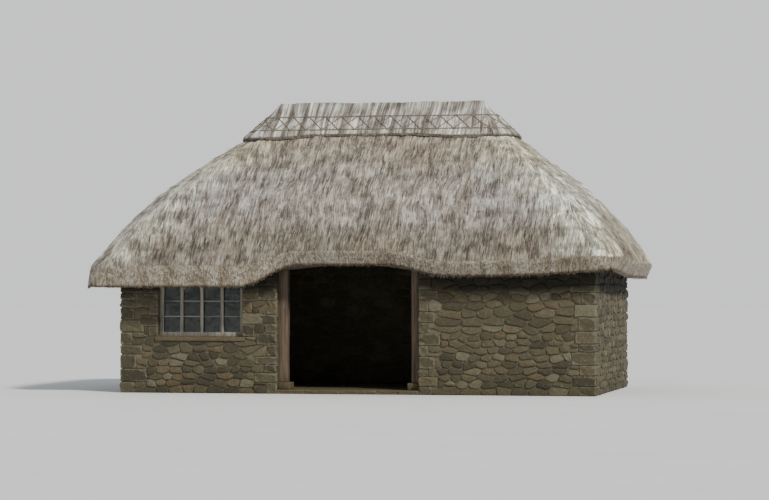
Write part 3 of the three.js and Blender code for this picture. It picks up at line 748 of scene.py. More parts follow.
def plane_over_the_room(bm, is_end):
    """Swaps the fine quads of a slope's flat underside, over the room, for one face."""
    def over_room(point):
        deep, wide = abs(point.y), abs(point.x) - RIDGE_END
        deep, wide = (wide, deep) if is_end else (deep, wide)
        return 0.12 < deep < 1.6 and wide < deep - 0.12

    flat = [f for f in bm.faces if f.normal.z < -0.3 and all(over_room(v.co) for v in f.verts)]
    bmesh.ops.delete(bm, geom=flat, context="FACES")
    bmesh.ops.holes_fill(bm, edges=[e for e in bm.edges if e.is_boundary], sides=0)


for side, planes in WEDGES.items():
    slope = wedge(coat, planes)
    plane_over_the_room(slope, "hip" in side)
    add_piece(f"straw_{side}", slope, THATCH, [f"thatch_{side}"], True)

# %% [markdown]
# ## The ridge
# A block ridge is a second, thicker coat over the top, cut to a clean edge and held down by split
# hazel rods. It is remeshed finer than the slopes, because its cut edge throws the darkest line
# on the roof. Faint ribs run over it where each handful of straw was bent across.

# %% Shape the ridge cap
CAP_VOXEL = 0.016
HANDFUL, RIB, SAG, FRAY = 0.007, 0.004, 0.008, 0.003

cap = remeshed(merged_copy("ridge_cap"), CAP_VOXEL, 3)
points, lean = points_of(cap), normals_of(cap)
lie = lie_of(points, lean)
cut = smooth_steps(lean[:, 2], 0.30, 0.05)
ribs = HANDFUL * noise_of(lie * (3.9, 0.3, 1), 21) + RIB * noise_of(lie * (14, 1.2, 1), 22)
moves = ribs * (1 - cut) + SAG * noise_of(points * 2.1, 23) + FRAY * noise_of(points * 34, 24)
set_attribute(cap, "lean", lean, "FLOAT_VECTOR")
set_attribute(cap, "cut", cut)
points = push(cap, points, lean, moves)
CAP_TREE = ray_target(cap, points)
add_piece("ridge_straw", cap, RIDGE_STRAW, ["ridge_cap"], True)

# %% [markdown]
# ## Hazel rods on the ridge
# Split rods lie in two level rows along the cap, and shorter ones cross between the rows, which
# pins the straw and gives the ridge its pattern of upright marks. Each rod is a curve with a
# round bevel: its points are found by casting rays at the cap from outside, so the rods follow
# every hollow of it. A curve is made a mesh at the end, so that it exports as it looks.

# %% Lay rods along the cap
CAP_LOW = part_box("ridge_cap")[0].z
ROW_LOW, ROW_HIGH = CAP_LOW + 0.17, CAP_LOW + 0.40
ROD, CROSSING = 0.011, 0.27
ROD_PARTS = 12
STRAIGHT, ROUND = 2 * RIDGE_END, 1.1
LAP = 2 * (STRAIGHT + ROUND)
WELL_CLEAR = 3
rod_random = random.Random(31)


def hazel_material():
    """Split hazel gone grey, with a fine bark."""
    material, g, shader = new_material("split_hazel", roughness=0.8)
    tone = g.noise(g.place(), 30.0, 3.0)
    wire(g, shader, g.ramp(tone, (0.35, (0.095, 0.078, 0.058)), (0.65, (0.235, 0.20, 0.15))),
         g.noise(g.place(), 120.0), 0.002)
    return material


def ring_point(share, z):
    """A point on the cap at a height, at a share of the way round it, from a ray cast inwards."""
    way = (share % 1.0) * LAP
    half = int(way >= LAP / 2)
    way, sign = way - half * LAP / 2, 1 - 2 * half
    if way < STRAIGHT:
        start = Vector((sign * (way - RIDGE_END), -sign * WELL_CLEAR, z))
        inward = Vector((0, sign, 0))
    else:
        angle = math.pi * ((way - STRAIGHT) / ROUND - 0.5 + half)
        inward = -Vector((math.cos(angle), math.sin(angle), 0))
        start = Vector((sign * RIDGE_END, 0, z)) - inward * WELL_CLEAR
    hit = CAP_TREE.ray_cast(start, inward)
    return hit[0] + hit[1] * ROD * 0.35 if hit[0] else None


def tube(name, paths, radius, material):
    """Round rods along lists of points, as one mesh."""
    curve = bpy.data.curves.new(name, "CURVE")
    curve.dimensions = "3D"
    curve.bevel_depth = radius
    curve.bevel_resolution = 1
    curve.use_fill_caps = True
    for path in paths:
        spline = curve.splines.new("POLY")
        spline.points.add(len(path) - 1)
        for point, place in zip(spline.points, path):
            point.co = (*place, 1.0)
    drawn = bpy.data.objects.new(name, curve)
    bpy.context.scene.collection.objects.link(drawn)
    bpy.context.view_layer.update()
    mesh = bpy.data.meshes.new_from_object(
        drawn.evaluated_get(bpy.context.evaluated_depsgraph_get()))
    bpy.data.objects.remove(drawn)
    return add_piece(name, mesh, material, smooth=True)


def rod_rows():
    """Level rods in lengths of about a metre, whose ends overlap a little."""
    paths = []
    for z in (ROW_LOW, ROW_HIGH):
        way = 0.0
        while way < LAP:
            length = rod_random.uniform(0.8, 1.3)
            tilt = rod_random.uniform(-0.012, 0.012)
            path = []
            for i in range(ROD_PARTS + 1):
                height = z + tilt * (i / ROD_PARTS - 0.5)
                path.append(ring_point((way + length * i / ROD_PARTS) / LAP, height))
            paths.append([p for p in path if p])
            way += length * 0.93
    return paths


def rod_crossings():
    """Short rods from row to row, leaning left and right by turns."""
    paths = []
    count = round(LAP / CROSSING)
    for i in range(count):
        for sign in (1, -1):
            path = []
            for part in np.linspace(-0.06, 1.06, 6):
                share = (i + 0.5 + sign * (part - 0.5)) / count
                path.append(ring_point(share, ROW_LOW + part * (ROW_HIGH - ROW_LOW)))
            paths.append([p for p in path if p])
    return paths


HAZEL = hazel_material()
tube("ridge_rods", rod_rows(), ROD, HAZEL)
tube("ridge_cross_rods", rod_crossings(), ROD * 0.75, HAZEL)

# %% [markdown]
# ## Loose stems
# What makes thatch read as straw and not as clay is its outline: ends that poke out of the eave
# and stems that lift off the slope. Each is a thin three-sided cone. An operator slows down as
# its bmesh grows, so the stems are made in small bunches and the bunches are joined. Stems at
# the hem of the eave hang in its shade, so they are kept darker than the others.

# %% Scatter stems over the coat
EAVE_STEMS, SLOPE_STEMS = 9000, 20000
HEM, HEM_AND_BROW = 0.62, 0.84
HEM_TONE, FULL_TONE = 0.45, 1.0
EAVE_X, EAVE_Y = 4.25, 2.55
OVERHANG_X, OVERHANG_Y, CORNER_X = 3.98, 2.28, 3.9
stem_random = random.Random(5)


def bunches(makers, size=120):
    """Joins many small shapes: each maker adds one to a bmesh and has its brightest tone."""
    whole = bmesh.new()
    whole.verts.layers.float.new("tone")
    for start in range(0, len(makers), size):
        bunch = bmesh.new()
        tone = bunch.verts.layers.float.new("tone")
        for maker, brightest in makers[start : start + size]:
            before = len(bunch.verts)
            maker(bunch)
            bunch.verts.ensure_lookup_table()
            value = stem_random.random() * brightest
            for vertex in bunch.verts[before:]:
                vertex[tone] = value
        mesh = bpy.data.meshes.new("bunch")
        bunch.to_mesh(mesh)
        bunch.free()
        whole.from_mesh(mesh)
        bpy.data.meshes.remove(mesh)
    return whole


def stem(foot, direction, length, radius):
    """A maker of one stem from its foot along a direction."""
    turn = direction.to_track_quat("Z", "Y").to_matrix().to_4x4()
    matrix = Matrix.Translation(foot + direction * (length / 2)) @ turn

    def make(bm):
        bmesh.ops.create_cone(bm, cap_ends=True, segments=3, radius1=radius,
                              radius2=radius * 0.55, depth=length, matrix=matrix)

    return make


def jitter(amount):
    """A small step in any direction."""
    return Vector([stem_random.uniform(-amount, amount) for _ in range(3)])


def way_out(place):
    """The level way in which the straw runs out at a point of the eave."""
    beyond_ridge = place.x - math.copysign(min(abs(place.x), RIDGE_END), place.x)
    if abs(place.y) > OVERHANG_Y and abs(place.x) < CORNER_X:
        beyond_ridge *= 0.3
    return Vector((beyond_ridge, place.y, 0)).normalized()


def eave_stems():
    """Stems along the eave: out of its lower edge, over its upper edge and from the cut face."""
    points, lean = points_of(coat), normals_of(coat)
    outside = (abs(points[:, 0]) > OVERHANG_X) | (abs(points[:, 1]) > OVERHANG_Y)
    steep = lean[:, 2]
    hem = np.flatnonzero((steep < -0.60) & (steep > -0.97) & outside & (points[:, 2] < 2.4))
    brow = np.flatnonzero((steep < 0.42) & (steep > 0.12) & outside)
    face = np.flatnonzero((steep < 0.10) & (steep > -0.55) & outside)
    makers = []
    for _ in range(EAVE_STEMS):
        chance = stem_random.random()
        in_hem = chance < HEM
        pick = hem if in_hem else brow if chance < HEM_AND_BROW else face
        place = Vector(points[pick[stem_random.randrange(len(pick))]])
        direction = (way_out(place) * 0.66 - UP * 0.75 + jitter(0.15)).normalized()
        length = stem_random.uniform(0.05, 0.10)
        out = stem_random.uniform(0.008, 0.042 if in_hem else 0.024)
        foot = place - direction * (length - out)
        maker = stem(foot, direction, length, stem_random.uniform(0.0024, 0.0042))
        makers.append((maker, HEM_TONE if in_hem else FULL_TONE))
    return makers


def slope_stems():
    """Stems that lie down the slope with one end lifted."""
    points, lean = points_of(coat), normals_of(coat)
    from_eave = np.minimum(EAVE_X - abs(points[:, 0]), EAVE_Y - abs(points[:, 1]))
    slope = np.flatnonzero((lean[:, 2] > 0.45) & (points[:, 2] < CAP_LOW) & (from_eave > 0.16))
    makers = []
    for _ in range(SLOPE_STEMS):
        index = slope[stem_random.randrange(len(slope))]
        place, normal = Vector(points[index]), Vector(lean[index])
        down = (normal * normal.z - UP).normalized()
        lifted = down + normal * stem_random.uniform(-0.02, 0.06)
        direction = (lifted + jitter(0.06)).normalized()
        length = stem_random.uniform(0.06, 0.17)
        maker = stem(place - normal * 0.003, direction, length,
                     stem_random.uniform(0.0022, 0.0040))
        makers.append((maker, FULL_TONE))
    return makers


add_piece("eave_stems", bunches(eave_stems()), STEMS)
add_piece("slope_stems", bunches(slope_stems()), STEMS)

# %% [markdown]
# ## Stone, mortar and flags
# The walls are field stones of grey and brown, laid in rough courses in a soft buff lime. All
# stone shares one group: a base colour picked by each stone's own tone, mottled at the size of a
# fist, speckled at the size of a grain, with smears of lime at its rim and a few pale spots of
# lichen. Low down it is damp, and right under the eave it is darkened with painted shade:
# "shade", stored on the mesh, says where. The height for the bump comes out of the same
# noises, so that light and colour agree.

# %% The stone's materials
STONE_TONES = ((0.02, (0.050, 0.043, 0.025)), (0.30, (0.079, 0.068, 0.039)),
               (0.55, (0.102, 0.091, 0.054)), (0.80, (0.112, 0.086, 0.045)),
               (1.0, (0.153, 0.142, 0.096)))
MORTAR_TONES = ((0.35, (0.067, 0.058, 0.036)), (0.62, (0.142, 0.126, 0.081)))
LIME_SMEAR, LICHEN = (0.138, 0.123, 0.083), (0.22, 0.21, 0.15)
# The shaded colours are painted shade under the eave.
DAMP_STONE, SHADED_STONE = (0.60, 0.60, 0.47), (0.20, 0.17, 0.115)
DAMP_MORTAR, SHADED_MORTAR = (0.050, 0.045, 0.028), (0.014, 0.012, 0.007)
FLAG_TONE = 0.80


def build_stone_group():
    """The face of a stone, as a node group: its colour and height from one tone."""
    g, given, out = new_group("stone_face", {"Tone": "NodeSocketFloat"},
                              {"Color": "NodeSocketColor", "Height": "NodeSocketFloat"})
    place = g.place()
    blotch = g.noise(place, 9.0, 4.0, 0.65)
    fleck = g.noise(place, 36.0, 4.0, 0.7)
    grain = g.noise(place, 110.0, 3.0, 0.6)
    pick = g.math("MULTIPLY_ADD", blotch, 0.44, g.math("SUBTRACT", given[0], 0.22))
    colour = g.ramp(pick, *STONE_TONES)
    colour = g.mix(g.span(fleck, 0.40, 0.66, 0.0, 0.75), colour, (0.55, 0.53, 0.48), "MULTIPLY")
    colour = g.mix(g.span(fleck, 0.46, 0.28, 0.0, 0.65), colour, (1.45, 1.42, 1.36), "MULTIPLY")
    colour = g.mix(g.span(grain, 0.35, 0.65, 0.0, 0.5), colour, (0.66, 0.63, 0.58), "MULTIPLY")
    smear = g.span(g.ragged(g.attribute("rim"), place, 24.0, 1.1), 1.36, 1.58, 0.0, 0.8)
    colour = g.mix(smear, colour, LIME_SMEAR)
    lichen = g.span(g.noise(place, 16.0, 5.0, 0.7), 0.61, 0.69, 0.0, 0.55)
    colour = g.mix(lichen, colour, LICHEN)
    damp = g.span(g.ragged(g.apart(place)[2], place, 2.0, 0.4), 0.6, 0.2, 0.0, 0.6)
    colour = g.mix(damp, colour, DAMP_STONE, "MULTIPLY")
    # Painted shade under the eave, where the mesh's "shade" is 1.
    colour = g.mix(g.attribute("shade"), colour, SHADED_STONE, "MULTIPLY")
    height = g.math("MULTIPLY_ADD", grain, 0.25, g.math("MULTIPLY_ADD", fleck, -0.5, blotch))
    g.tree.links.new(colour, out.inputs[0])
    g.tree.links.new(height, out.inputs[1])


def stone_material(name, tone=None):
    """Stone whose tone comes from each stone's attribute, or is the same for all."""
    material, g, shader = new_material(name, roughness=0.9)
    made = use_group(g, "stone_face", {"Tone": g.attribute("tone") if tone is None else tone})
    wire(g, shader, made["Color"], made["Height"], depth=0.012)
    return material


def mortar_material():
    """Lime and sand between the stones: buff, gritty, darker low down, painted shade under the
    eave.
    """
    material, g, shader = new_material("lime_mortar", roughness=0.95)
    place = g.place()
    spot = g.apart(place)
    grit = g.noise(place, 150.0, 3.0, 0.7)
    tone = g.math("MULTIPLY_ADD", grit, 0.5, g.math("MULTIPLY", g.noise(place, 3.0, 4.0), 0.5))
    colour = g.ramp(tone, *MORTAR_TONES)
    damp = g.span(g.ragged(spot[2], place, 2.0, 0.4), 0.7, 0.2, 0.0, 0.5)
    colour = g.mix(damp, colour, DAMP_MORTAR)
    # Painted shade along the top of the outside walls, under the eave.
    shade = g.span(g.ragged(spot[2], place, 5.0, 0.06), 1.60, 1.70, 0.0, 0.9)
    outside = g.math("MAXIMUM", g.span(g.math("ABSOLUTE", spot[0]), 3.55, 3.65),
                     g.span(g.math("ABSOLUTE", spot[1]), 1.85, 1.95))
    colour = g.mix(g.math("MULTIPLY", shade, outside), colour, SHADED_MORTAR)
    wire(g, shader, colour, grit, depth=0.004)
    return material


build_stone_group()
RUBBLE = stone_material("rubble_stone")
FLAGS = stone_material("flagstone", FLAG_TONE)
MORTAR = mortar_material()
for name in ("back_wall", "left_wall", "right_wall", "front_wall_left", "front_wall_right",
             "floor"):
    finish_node(name, MORTAR)
print("stone materials on the walls and floor")

# %% [markdown]
# ## Building with rubble
# Every stone starts as a flat square around its own point. For each near neighbour a plane half
# way between the two points trims it, which is how stones that fill a wall share out its face.
# The neighbours are measured in a space squeezed sideways, so the stones come out wider than
# they are tall. The outline is then split finer, pushed about by a few millimetres and smoothed,
# drawn out of the wall, and its front is drawn in and raised in the middle. Bisect, smooth,
# extrude, inset and poke do it all.

# %% Trim, round and raise one stone
STRETCH = 1.75
JOINT = 0.013
REACH = 0.55


def clip(bm, point, normal):
    """Trims a flat outline to one side of a line."""
    bmesh.ops.bisect_plane(bm, geom=bm.verts[:] + bm.edges[:] + bm.faces[:],
                           plane_co=(*point, 0), plane_no=(*normal, 0), clear_outer=True)


def trimmed_cell(seed, near, joint=JOINT, stretch=STRETCH):
    """The flat outline of one stone between its neighbours, less half a joint on each side."""
    bm = bmesh.new()
    bmesh.ops.create_grid(bm, x_segments=1, y_segments=1, size=REACH,
                          matrix=Matrix.Translation((*seed, 0)))
    for other in near:
        normal = Vector(((other[0] - seed[0]) / stretch**2, other[1] - seed[1])).normalized()
        middle = Vector(((seed[0] + other[0]) / 2, (seed[1] + other[1]) / 2))
        clip(bm, middle - normal * joint / 2, normal)
        if not bm.faces:
            break
    return bm


def raise_stone(bm, proud, crown, rng, ragged=0.005, drawn_in=0.009):
    """Roughens the flat outline and draws it out into a stone with a crowned face."""
    bmesh.ops.remove_doubles(bm, verts=bm.verts, dist=0.014)
    if len(bm.faces) != 1 or len(bm.verts) < 3:
        return False
    bmesh.ops.bisect_edges(bm, edges=bm.edges[:], cuts=2)
    for vertex in bm.verts:
        vertex.co += Vector((rng.uniform(-ragged, ragged), rng.uniform(-ragged, ragged), 0))
    bmesh.ops.smooth_vert(bm, verts=bm.verts, factor=0.6, use_axis_x=True, use_axis_y=True)
    rim = bm.verts.layers.float.new("rim")
    for vertex in bm.verts:
        vertex[rim] = 1.0
    made = bmesh.ops.extrude_face_region(bm, geom=bm.faces[:])
    top = [f for f in made["geom"] if isinstance(f, bmesh.types.BMFace)]
    corners = list({v for f in top for v in f.verts})
    bmesh.ops.translate(bm, verts=corners, vec=(0, 0, proud))
    bmesh.ops.inset_region(bm, faces=top, thickness=drawn_in, depth=crown * 0.6,
                           use_even_offset=True)
    for vertex in {v for f in top for v in f.verts}:
        vertex[rim] = 0.0
    poked = bmesh.ops.poke(bm, faces=top)
    shift = (rng.uniform(-0.02, 0.02), rng.uniform(-0.01, 0.01), crown * rng.uniform(0.0, 0.8))
    bmesh.ops.translate(bm, verts=poked["verts"], vec=shift)
    for vertex in bm.verts:
        if vertex.co.z > proud * 0.9:
            vertex.co.z += rng.uniform(-0.0025, 0.0025)
    bmesh.ops.recalc_face_normals(bm, faces=bm.faces)
    return True


print("one stone from", REACH * 2, "m of blank face")

# %% [markdown]
# A wall's face is a rectangle with things kept out of it: windows, lintels, the corner stones.
# A stone that reaches into one of them is trimmed along the side that it loses least by. The
# face's own axes are along, up and outward, which always make a right-handed set, so the stones
# never come out mirrored. The top of an outside wall follows the underside of the thatch, and
# the top of an inside one is level.

# %% Fill a wall's face with stones
CLEAR_OF_STRAW = 0.006
SHADE_FADES, SHADE_FULL = 0.56, 0.44


class Face:
    """One face of a wall: where it starts, which way it runs and what is kept clear on it."""

    def __init__(self, start, outward, length, height, keep_out=(), under_straw=True):
        self.start, self.outward = Vector(start), Vector(outward)
        self.along = UP.cross(self.outward)
        self.length, self.height = length, height
        self.keep_out, self.under_straw = list(keep_out), under_straw

    def matrix(self):
        """Takes the face's own coordinates to the cottage's."""
        turn = Matrix((self.along, UP, self.outward)).transposed().to_4x4()
        return Matrix.Translation(self.start) @ turn

    def top_at(self, along):
        """How high stones may rise, on the outside until they meet the straw."""
        if self.under_straw:
            eye = self.start + self.along * along + UP * 0.9 + self.outward * 0.030
            found = COAT_TREE.ray_cast(eye, UP)[0]
            if found:
                return min(self.height, found.z - self.start.z - CLEAR_OF_STRAW)
        return self.height


def rubble_seeds(face, rng, small, large):
    """Points in uneven courses over a face."""
    seeds, up = [], 0.0
    while up < face.height + large:
        course = rng.uniform(small, large)
        along = -rng.uniform(0.0, 0.3)
        while along < face.length + 0.2:
            width = course * rng.uniform(1.1, 3.2)
            spot = (along + width / 2, up + course / 2 + rng.uniform(-0.3, 0.3) * course)
            if not any(a0 < spot[0] < a1 and b0 < spot[1] < b1 for a0, b0, a1, b1 in face.keep_out):
                seeds.append(spot)
            along += width
        up += course
    return seeds


def trim_to_face(bm, seed, face):
    """Trims one outline to the face's edges, the straw and whatever is kept out."""
    half = JOINT / 2
    clip(bm, (half, 0), (-1, 0))
    clip(bm, (face.length - half, 0), (1, 0))
    clip(bm, (0, 0.004), (0, -1))
    clip(bm, (0, min(face.top_at(seed[0] - 0.08), face.top_at(seed[0] + 0.08))), (0, 1))
    for a0, b0, a1, b1 in face.keep_out:
        if not bm.faces:
            return
        xs, ys = [v.co.x for v in bm.verts], [v.co.y for v in bm.verts]
        if max(xs) < a0 or min(xs) > a1 or max(ys) < b0 or min(ys) > b1:
            continue
        sides = [(a0 - seed[0], (a0 - half, 0), (1, 0)), (seed[0] - a1, (a1 + half, 0), (-1, 0)),
                 ((b0 - seed[1]) * STRETCH, (0, b0 - half), (0, 1)),
                 ((seed[1] - b1) * STRETCH, (0, b1 + half), (0, -1))]
        _, point, normal = max(sides)
        clip(bm, point, normal)


def area_of(bm):
    """The area of an outline, in square metres."""
    return sum(f.calc_area() for f in bm.faces)


def lay_rubble(wall, face, rng, proud=(0.010, 0.024), sizes=(0.075, 0.145), tones=(0.0, 1.0)):
    """Adds the stones of one face to a wall's bmesh, and says how many."""
    seeds = rubble_seeds(face, rng, *sizes)
    matrix, laid = face.matrix(), 0
    for seed in seeds:
        near = sorted((s for s in seeds if s != seed and abs(s[0] - seed[0]) < REACH
                       and abs(s[1] - seed[1]) < 0.4),
                      key=lambda s: ((s[0] - seed[0]) / STRETCH) ** 2 + (s[1] - seed[1]) ** 2)
        bm = trimmed_cell(seed, near[:12], joint=JOINT * rng.uniform(0.7, 1.7))
        if bm.faces:
            trim_to_face(bm, seed, face)
        good = bm.faces and area_of(bm) > 0.0020
        if good and raise_stone(bm, rng.uniform(*proud), rng.uniform(0.004, 0.014), rng):
            join(wall, bm, matrix, rng.uniform(*tones))
            laid += 1
        bm.free()
    return laid


def join(whole, bm, matrix, tone_value):
    """Moves a small bmesh into place, gives it its tone, and adds it to a larger one."""
    bmesh.ops.transform(bm, matrix=matrix, verts=bm.verts)
    tone = bm.verts.layers.float.new("tone")
    for vertex in bm.verts:
        vertex[tone] = tone_value
    mesh = bpy.data.meshes.new("stone")
    bm.to_mesh(mesh)
    whole.from_mesh(mesh)
    bpy.data.meshes.remove(mesh)


def shade_under_straw(points, outward):
    """1 right under the eave, where the stones get painted shade, 0 from half a metre below."""
    gap = np.full(len(points), FAR_AWAY)
    for i in np.flatnonzero(points[:, 2] > 1.3):
        above = COAT_TREE.ray_cast(Vector(points[i]) + outward * 0.03, UP)[0]
        if above:
            gap[i] = above.z - points[i][2]
    return smooth_steps(gap, SHADE_FADES, SHADE_FULL)


def new_wall():
    """An empty bmesh with the layers that stone and wood read."""
    bm = bmesh.new()
    for layer in ("rim", "tone"):
        bm.verts.layers.float.new(layer)
    return bm


print("rubble: ready")

# %% [markdown]
# ## Corner stones
# Rubble is weak at a corner, so larger squared stones turn it, long one way and then the other.
# The same blocks stand at the sides of the open bay and of the windows. Each is a cube with its
# edges bevelled and its corners moved a few millimetres, as a hammer leaves them.

# %% Squared blocks for corners and openings
OUT_X, OUT_Y = 3.8, 2.1
QUOIN_LONG, QUOIN_SHORT, PROUD = 0.37, 0.21, 0.020


def sharp_edges(bm, angle=25):
    """The edges whose faces meet at more than an angle in degrees."""
    return [e for e in bm.edges if e.is_manifold and e.calc_face_angle(0) > math.radians(angle)]


def block(whole, low, high, rng, soft=0.013, rough=0.0055):
    """A squared stone or slip of wood between two corners, in the cottage's own axes."""
    low, high = Vector(low), Vector(high)
    bm = bmesh.new()
    bmesh.ops.create_cube(bm, size=1.0)
    size, middle = high - low, (high + low) / 2
    bmesh.ops.scale(bm, vec=size, verts=bm.verts)
    if rough:
        bmesh.ops.subdivide_edges(bm, edges=bm.edges[:], cuts=2, use_grid_fill=True)
        for vertex in bm.verts:
            vertex.co += Vector([rng.uniform(-rough, rough) for _ in range(3)])
    bmesh.ops.bevel(bm, geom=sharp_edges(bm, 55), offset=soft, segments=2, profile=0.5,
                    affect="EDGES", clamp_overlap=True, material=-1)
    rim = bm.verts.layers.float.new("rim")
    for vertex in bm.verts:
        near = [abs(c) > s / 2 - soft * 1.3 for c, s in zip(vertex.co, size)]
        vertex[rim] = float(sum(near) > 1)
    join(whole, bm, Matrix.Translation(middle), rng.random())
    bm.free()


def courses(low, high, rng, smallest=0.12, largest=0.25):
    """Heights of block courses that fill a stretch of wall exactly."""
    heights = []
    while sum(heights) < high - low:
        heights.append(rng.uniform(smallest, largest))
    scale = (high - low) / sum(heights)
    level = low
    for height in heights:
        yield level + JOINT / 2, level + height * scale - JOINT / 2
        level += height * scale


def corner_blocks(whole, sign_x, sign_y, top, rng):
    """The stack at one corner; returns each stone's two heights and its reach on both faces."""
    rows = []
    for i, (z0, z1) in enumerate(courses(0.0, top, rng)):
        on_x, on_y = (QUOIN_LONG, QUOIN_SHORT) if i % 2 else (QUOIN_SHORT, QUOIN_LONG)
        on_x *= rng.uniform(0.8, 1.2)
        on_y *= rng.uniform(0.8, 1.2)
        x0, x1 = sorted((sign_x * (OUT_X + PROUD), sign_x * (OUT_X - on_x)))
        y0, y1 = sorted((sign_y * (OUT_Y + PROUD), sign_y * (OUT_Y - on_y)))
        block(whole, (x0, y0, z0), (x1, y1, z1), rng)
        rows.append((z0, z1, on_x, on_y))
    return rows


print("blocks: ready")

# %% [markdown]
# ## Raising the walls
# The outside is laid first: four faces, with the corner stacks, the jambs of the bay and of the
# windows, and the lintels and sills kept clear. Then the room's inside, which only shows through
# the open bay, is laid the same way, less proud. Each side of the building is one piece.

# %% Lay the outside walls
BAY = (-1.25, 1.05)
CORNER_TOP, BAY_JAMB_TOP, FACE_TOP = 2.10, 2.0, 2.42
WINDOWS = {"front": (-1, -2.5), "back": (1, 2.5)}
WINDOW_HALF, WINDOW_LOW, WINDOW_HIGH = 0.70, 0.90, 1.78
LINTEL, SILL, OPENING = (0.90, 1.775, 1.935), (0.745, 0.825, 0.905), (0.70, 0.85, 1.90)
JAMB_LONG, JAMB_SHORT = 0.30, 0.17
wall_random = random.Random(17)


def mirrored(keep, length):
    """Rectangles on a face, seen from its other side."""
    return [(length - a1, b0, length - a0, b1) for a0, b0, a1, b1 in keep]


def stack_corners(walls, clear):
    """Lays the four stacks of corner stones, and keeps their room clear on both faces."""
    for sx in (-1, 1):
        end_side = "right" if sx > 0 else "left"
        for sy in (-1, 1):
            long_side = "front" if sy < 0 else "back"
            rows = corner_blocks(walls[long_side], sx, sy, CORNER_TOP, wall_random)
            for z0, z1, on_x, on_y in rows:
                x0, x1 = sorted((sx * OUT_X, sx * (OUT_X - on_x)))
                y0, y1 = sorted((sy * OUT_Y, sy * (OUT_Y - on_y)))
                clear[long_side].append((x0, z0, x1, z1))
                clear[end_side].append((y0, z0, y1, z1))


def jamb_blocks(whole, x, inward, low, high, y_out, depth):
    """Blocks beside an opening: x is its edge, and inward the way to the solid wall."""
    rows = []
    for i, (z0, z1) in enumerate(courses(low, high, wall_random)):
        width = (JAMB_LONG if i % 2 else JAMB_SHORT) * wall_random.uniform(0.8, 1.2)
        x0, x1 = sorted((x - inward * 0.004, x + inward * width))
        y0, y1 = sorted((y_out * (OUT_Y + PROUD), y_out * (OUT_Y - depth)))
        block(whole, (x0, y0, z0), (x1, y1, z1), wall_random)
        rows.append((x0, z0, x1, z1))
    return rows


def line_openings(walls, clear):
    """Lays the jambs of the bay and of the windows, and keeps the openings clear."""
    for x, inward in ((BAY[0], -1), (BAY[1], 1)):
        clear["front"] += jamb_blocks(walls["front"], x, inward, 0.0, BAY_JAMB_TOP, -1, 0.10)
    clear["front"].append((BAY[0], -1.0, BAY[1], 4.0))
    for side, (y_out, centre) in WINDOWS.items():
        for inward in (-1, 1):
            clear[side] += jamb_blocks(walls[side], centre + inward * WINDOW_HALF, inward,
                                       WINDOW_LOW, WINDOW_HIGH, y_out, 0.085)
        for half, low, high in (LINTEL, SILL, OPENING):
            clear[side].append((centre - half, low, centre + half, high))


def build_outside():
    """The four outside walls, each one piece."""
    walls = {name: new_wall() for name in ("front", "back", "left", "right")}
    clear = {name: [] for name in walls}
    stack_corners(walls, clear)
    line_openings(walls, clear)
    faces = {
        "front": Face((-OUT_X, -OUT_Y, 0), (0, -1, 0), 2 * OUT_X, FACE_TOP),
        "back": Face((OUT_X, OUT_Y, 0), (0, 1, 0), 2 * OUT_X, FACE_TOP),
        "right": Face((OUT_X, -OUT_Y, 0), (1, 0, 0), 2 * OUT_Y, FACE_TOP),
        "left": Face((-OUT_X, OUT_Y, 0), (-1, 0, 0), 2 * OUT_Y, FACE_TOP),
    }
    for name, face in faces.items():
        half = face.length / 2
        keep = [(a0 + half, b0, a1 + half, b1) for a0, b0, a1, b1 in clear[name]]
        face.keep_out = mirrored(keep, face.length) if name in ("back", "left") else keep
        laid = lay_rubble(walls[name], face, wall_random)
        print(name, "face:", laid, "stones")
        piece = add_piece(f"rubble_{name}", walls[name], RUBBLE)
        shade = shade_under_straw(points_of(piece.data), face.outward)
        set_attribute(piece.data, "shade", shade)


build_outside()

# %% Lay the inside of the room
IN_X, IN_Y, IN_LOW, IN_HIGH = 3.4, 1.7, 0.06, 2.04
INNER_PROUD, INNER_SIZES, INNER_TONES = (0.008, 0.016), (0.11, 0.19), (0.35, 1.0)


def build_inside():
    """The three inside walls that show through the bay, with the back window kept clear."""
    middle, half = WINDOWS["back"][1] + IN_X, WINDOW_HALF + 0.2
    faces = {
        "back": Face((-IN_X, IN_Y, IN_LOW), (0, -1, 0), 2 * IN_X, IN_HIGH,
                     [(middle - half, 0.84, middle + half, 1.87)], under_straw=False),
        "left": Face((-IN_X, -IN_Y, IN_LOW), (1, 0, 0), 2 * IN_Y, IN_HIGH, under_straw=False),
        "right": Face((IN_X, IN_Y, IN_LOW), (-1, 0, 0), 2 * IN_Y, IN_HIGH, under_straw=False),
    }
    for name, face in faces.items():
        wall = new_wall()
        laid = lay_rubble(wall, face, wall_random, INNER_PROUD, INNER_SIZES, INNER_TONES)
        print(name, "inside:", laid, "stones")
        add_piece(f"inner_rubble_{name}", wall, RUBBLE)


build_inside()

# %% [markdown]
# ## The floor of the room
# Big worn flags cover the floor, and squared ones the threshold of the bay. The flags are made as
# the wall stones are, from a staggered lattice of points pushed about, and stand only a few
# millimetres out of their bed.

# %% Lay the flagstones
FLAG_ROWS, FLAG_COLUMNS = 8, 11
FLAG_WIDE, FLAG_DEEP, FLAG_SHIFT = 0.66, 0.52, 0.31
FLAG_PROUD, FLAG_CROWN, FLAG_JOINT = 0.006, 0.002, 0.016
THRESHOLD = (-1.24, -0.78, -0.21, 0.36, 0.71, 1.04)


def flag_points(rng):
    """Points in rows over the floor, every other row shifted."""
    points = []
    for row in range(FLAG_ROWS):
        shift = FLAG_SHIFT if row % 2 else 0.0
        for column in range(FLAG_COLUMNS):
            points.append((-3.35 + column * FLAG_WIDE + shift + rng.uniform(-0.09, 0.09),
                           -2.0 + row * FLAG_DEEP + rng.uniform(-0.05, 0.05)))
    return points


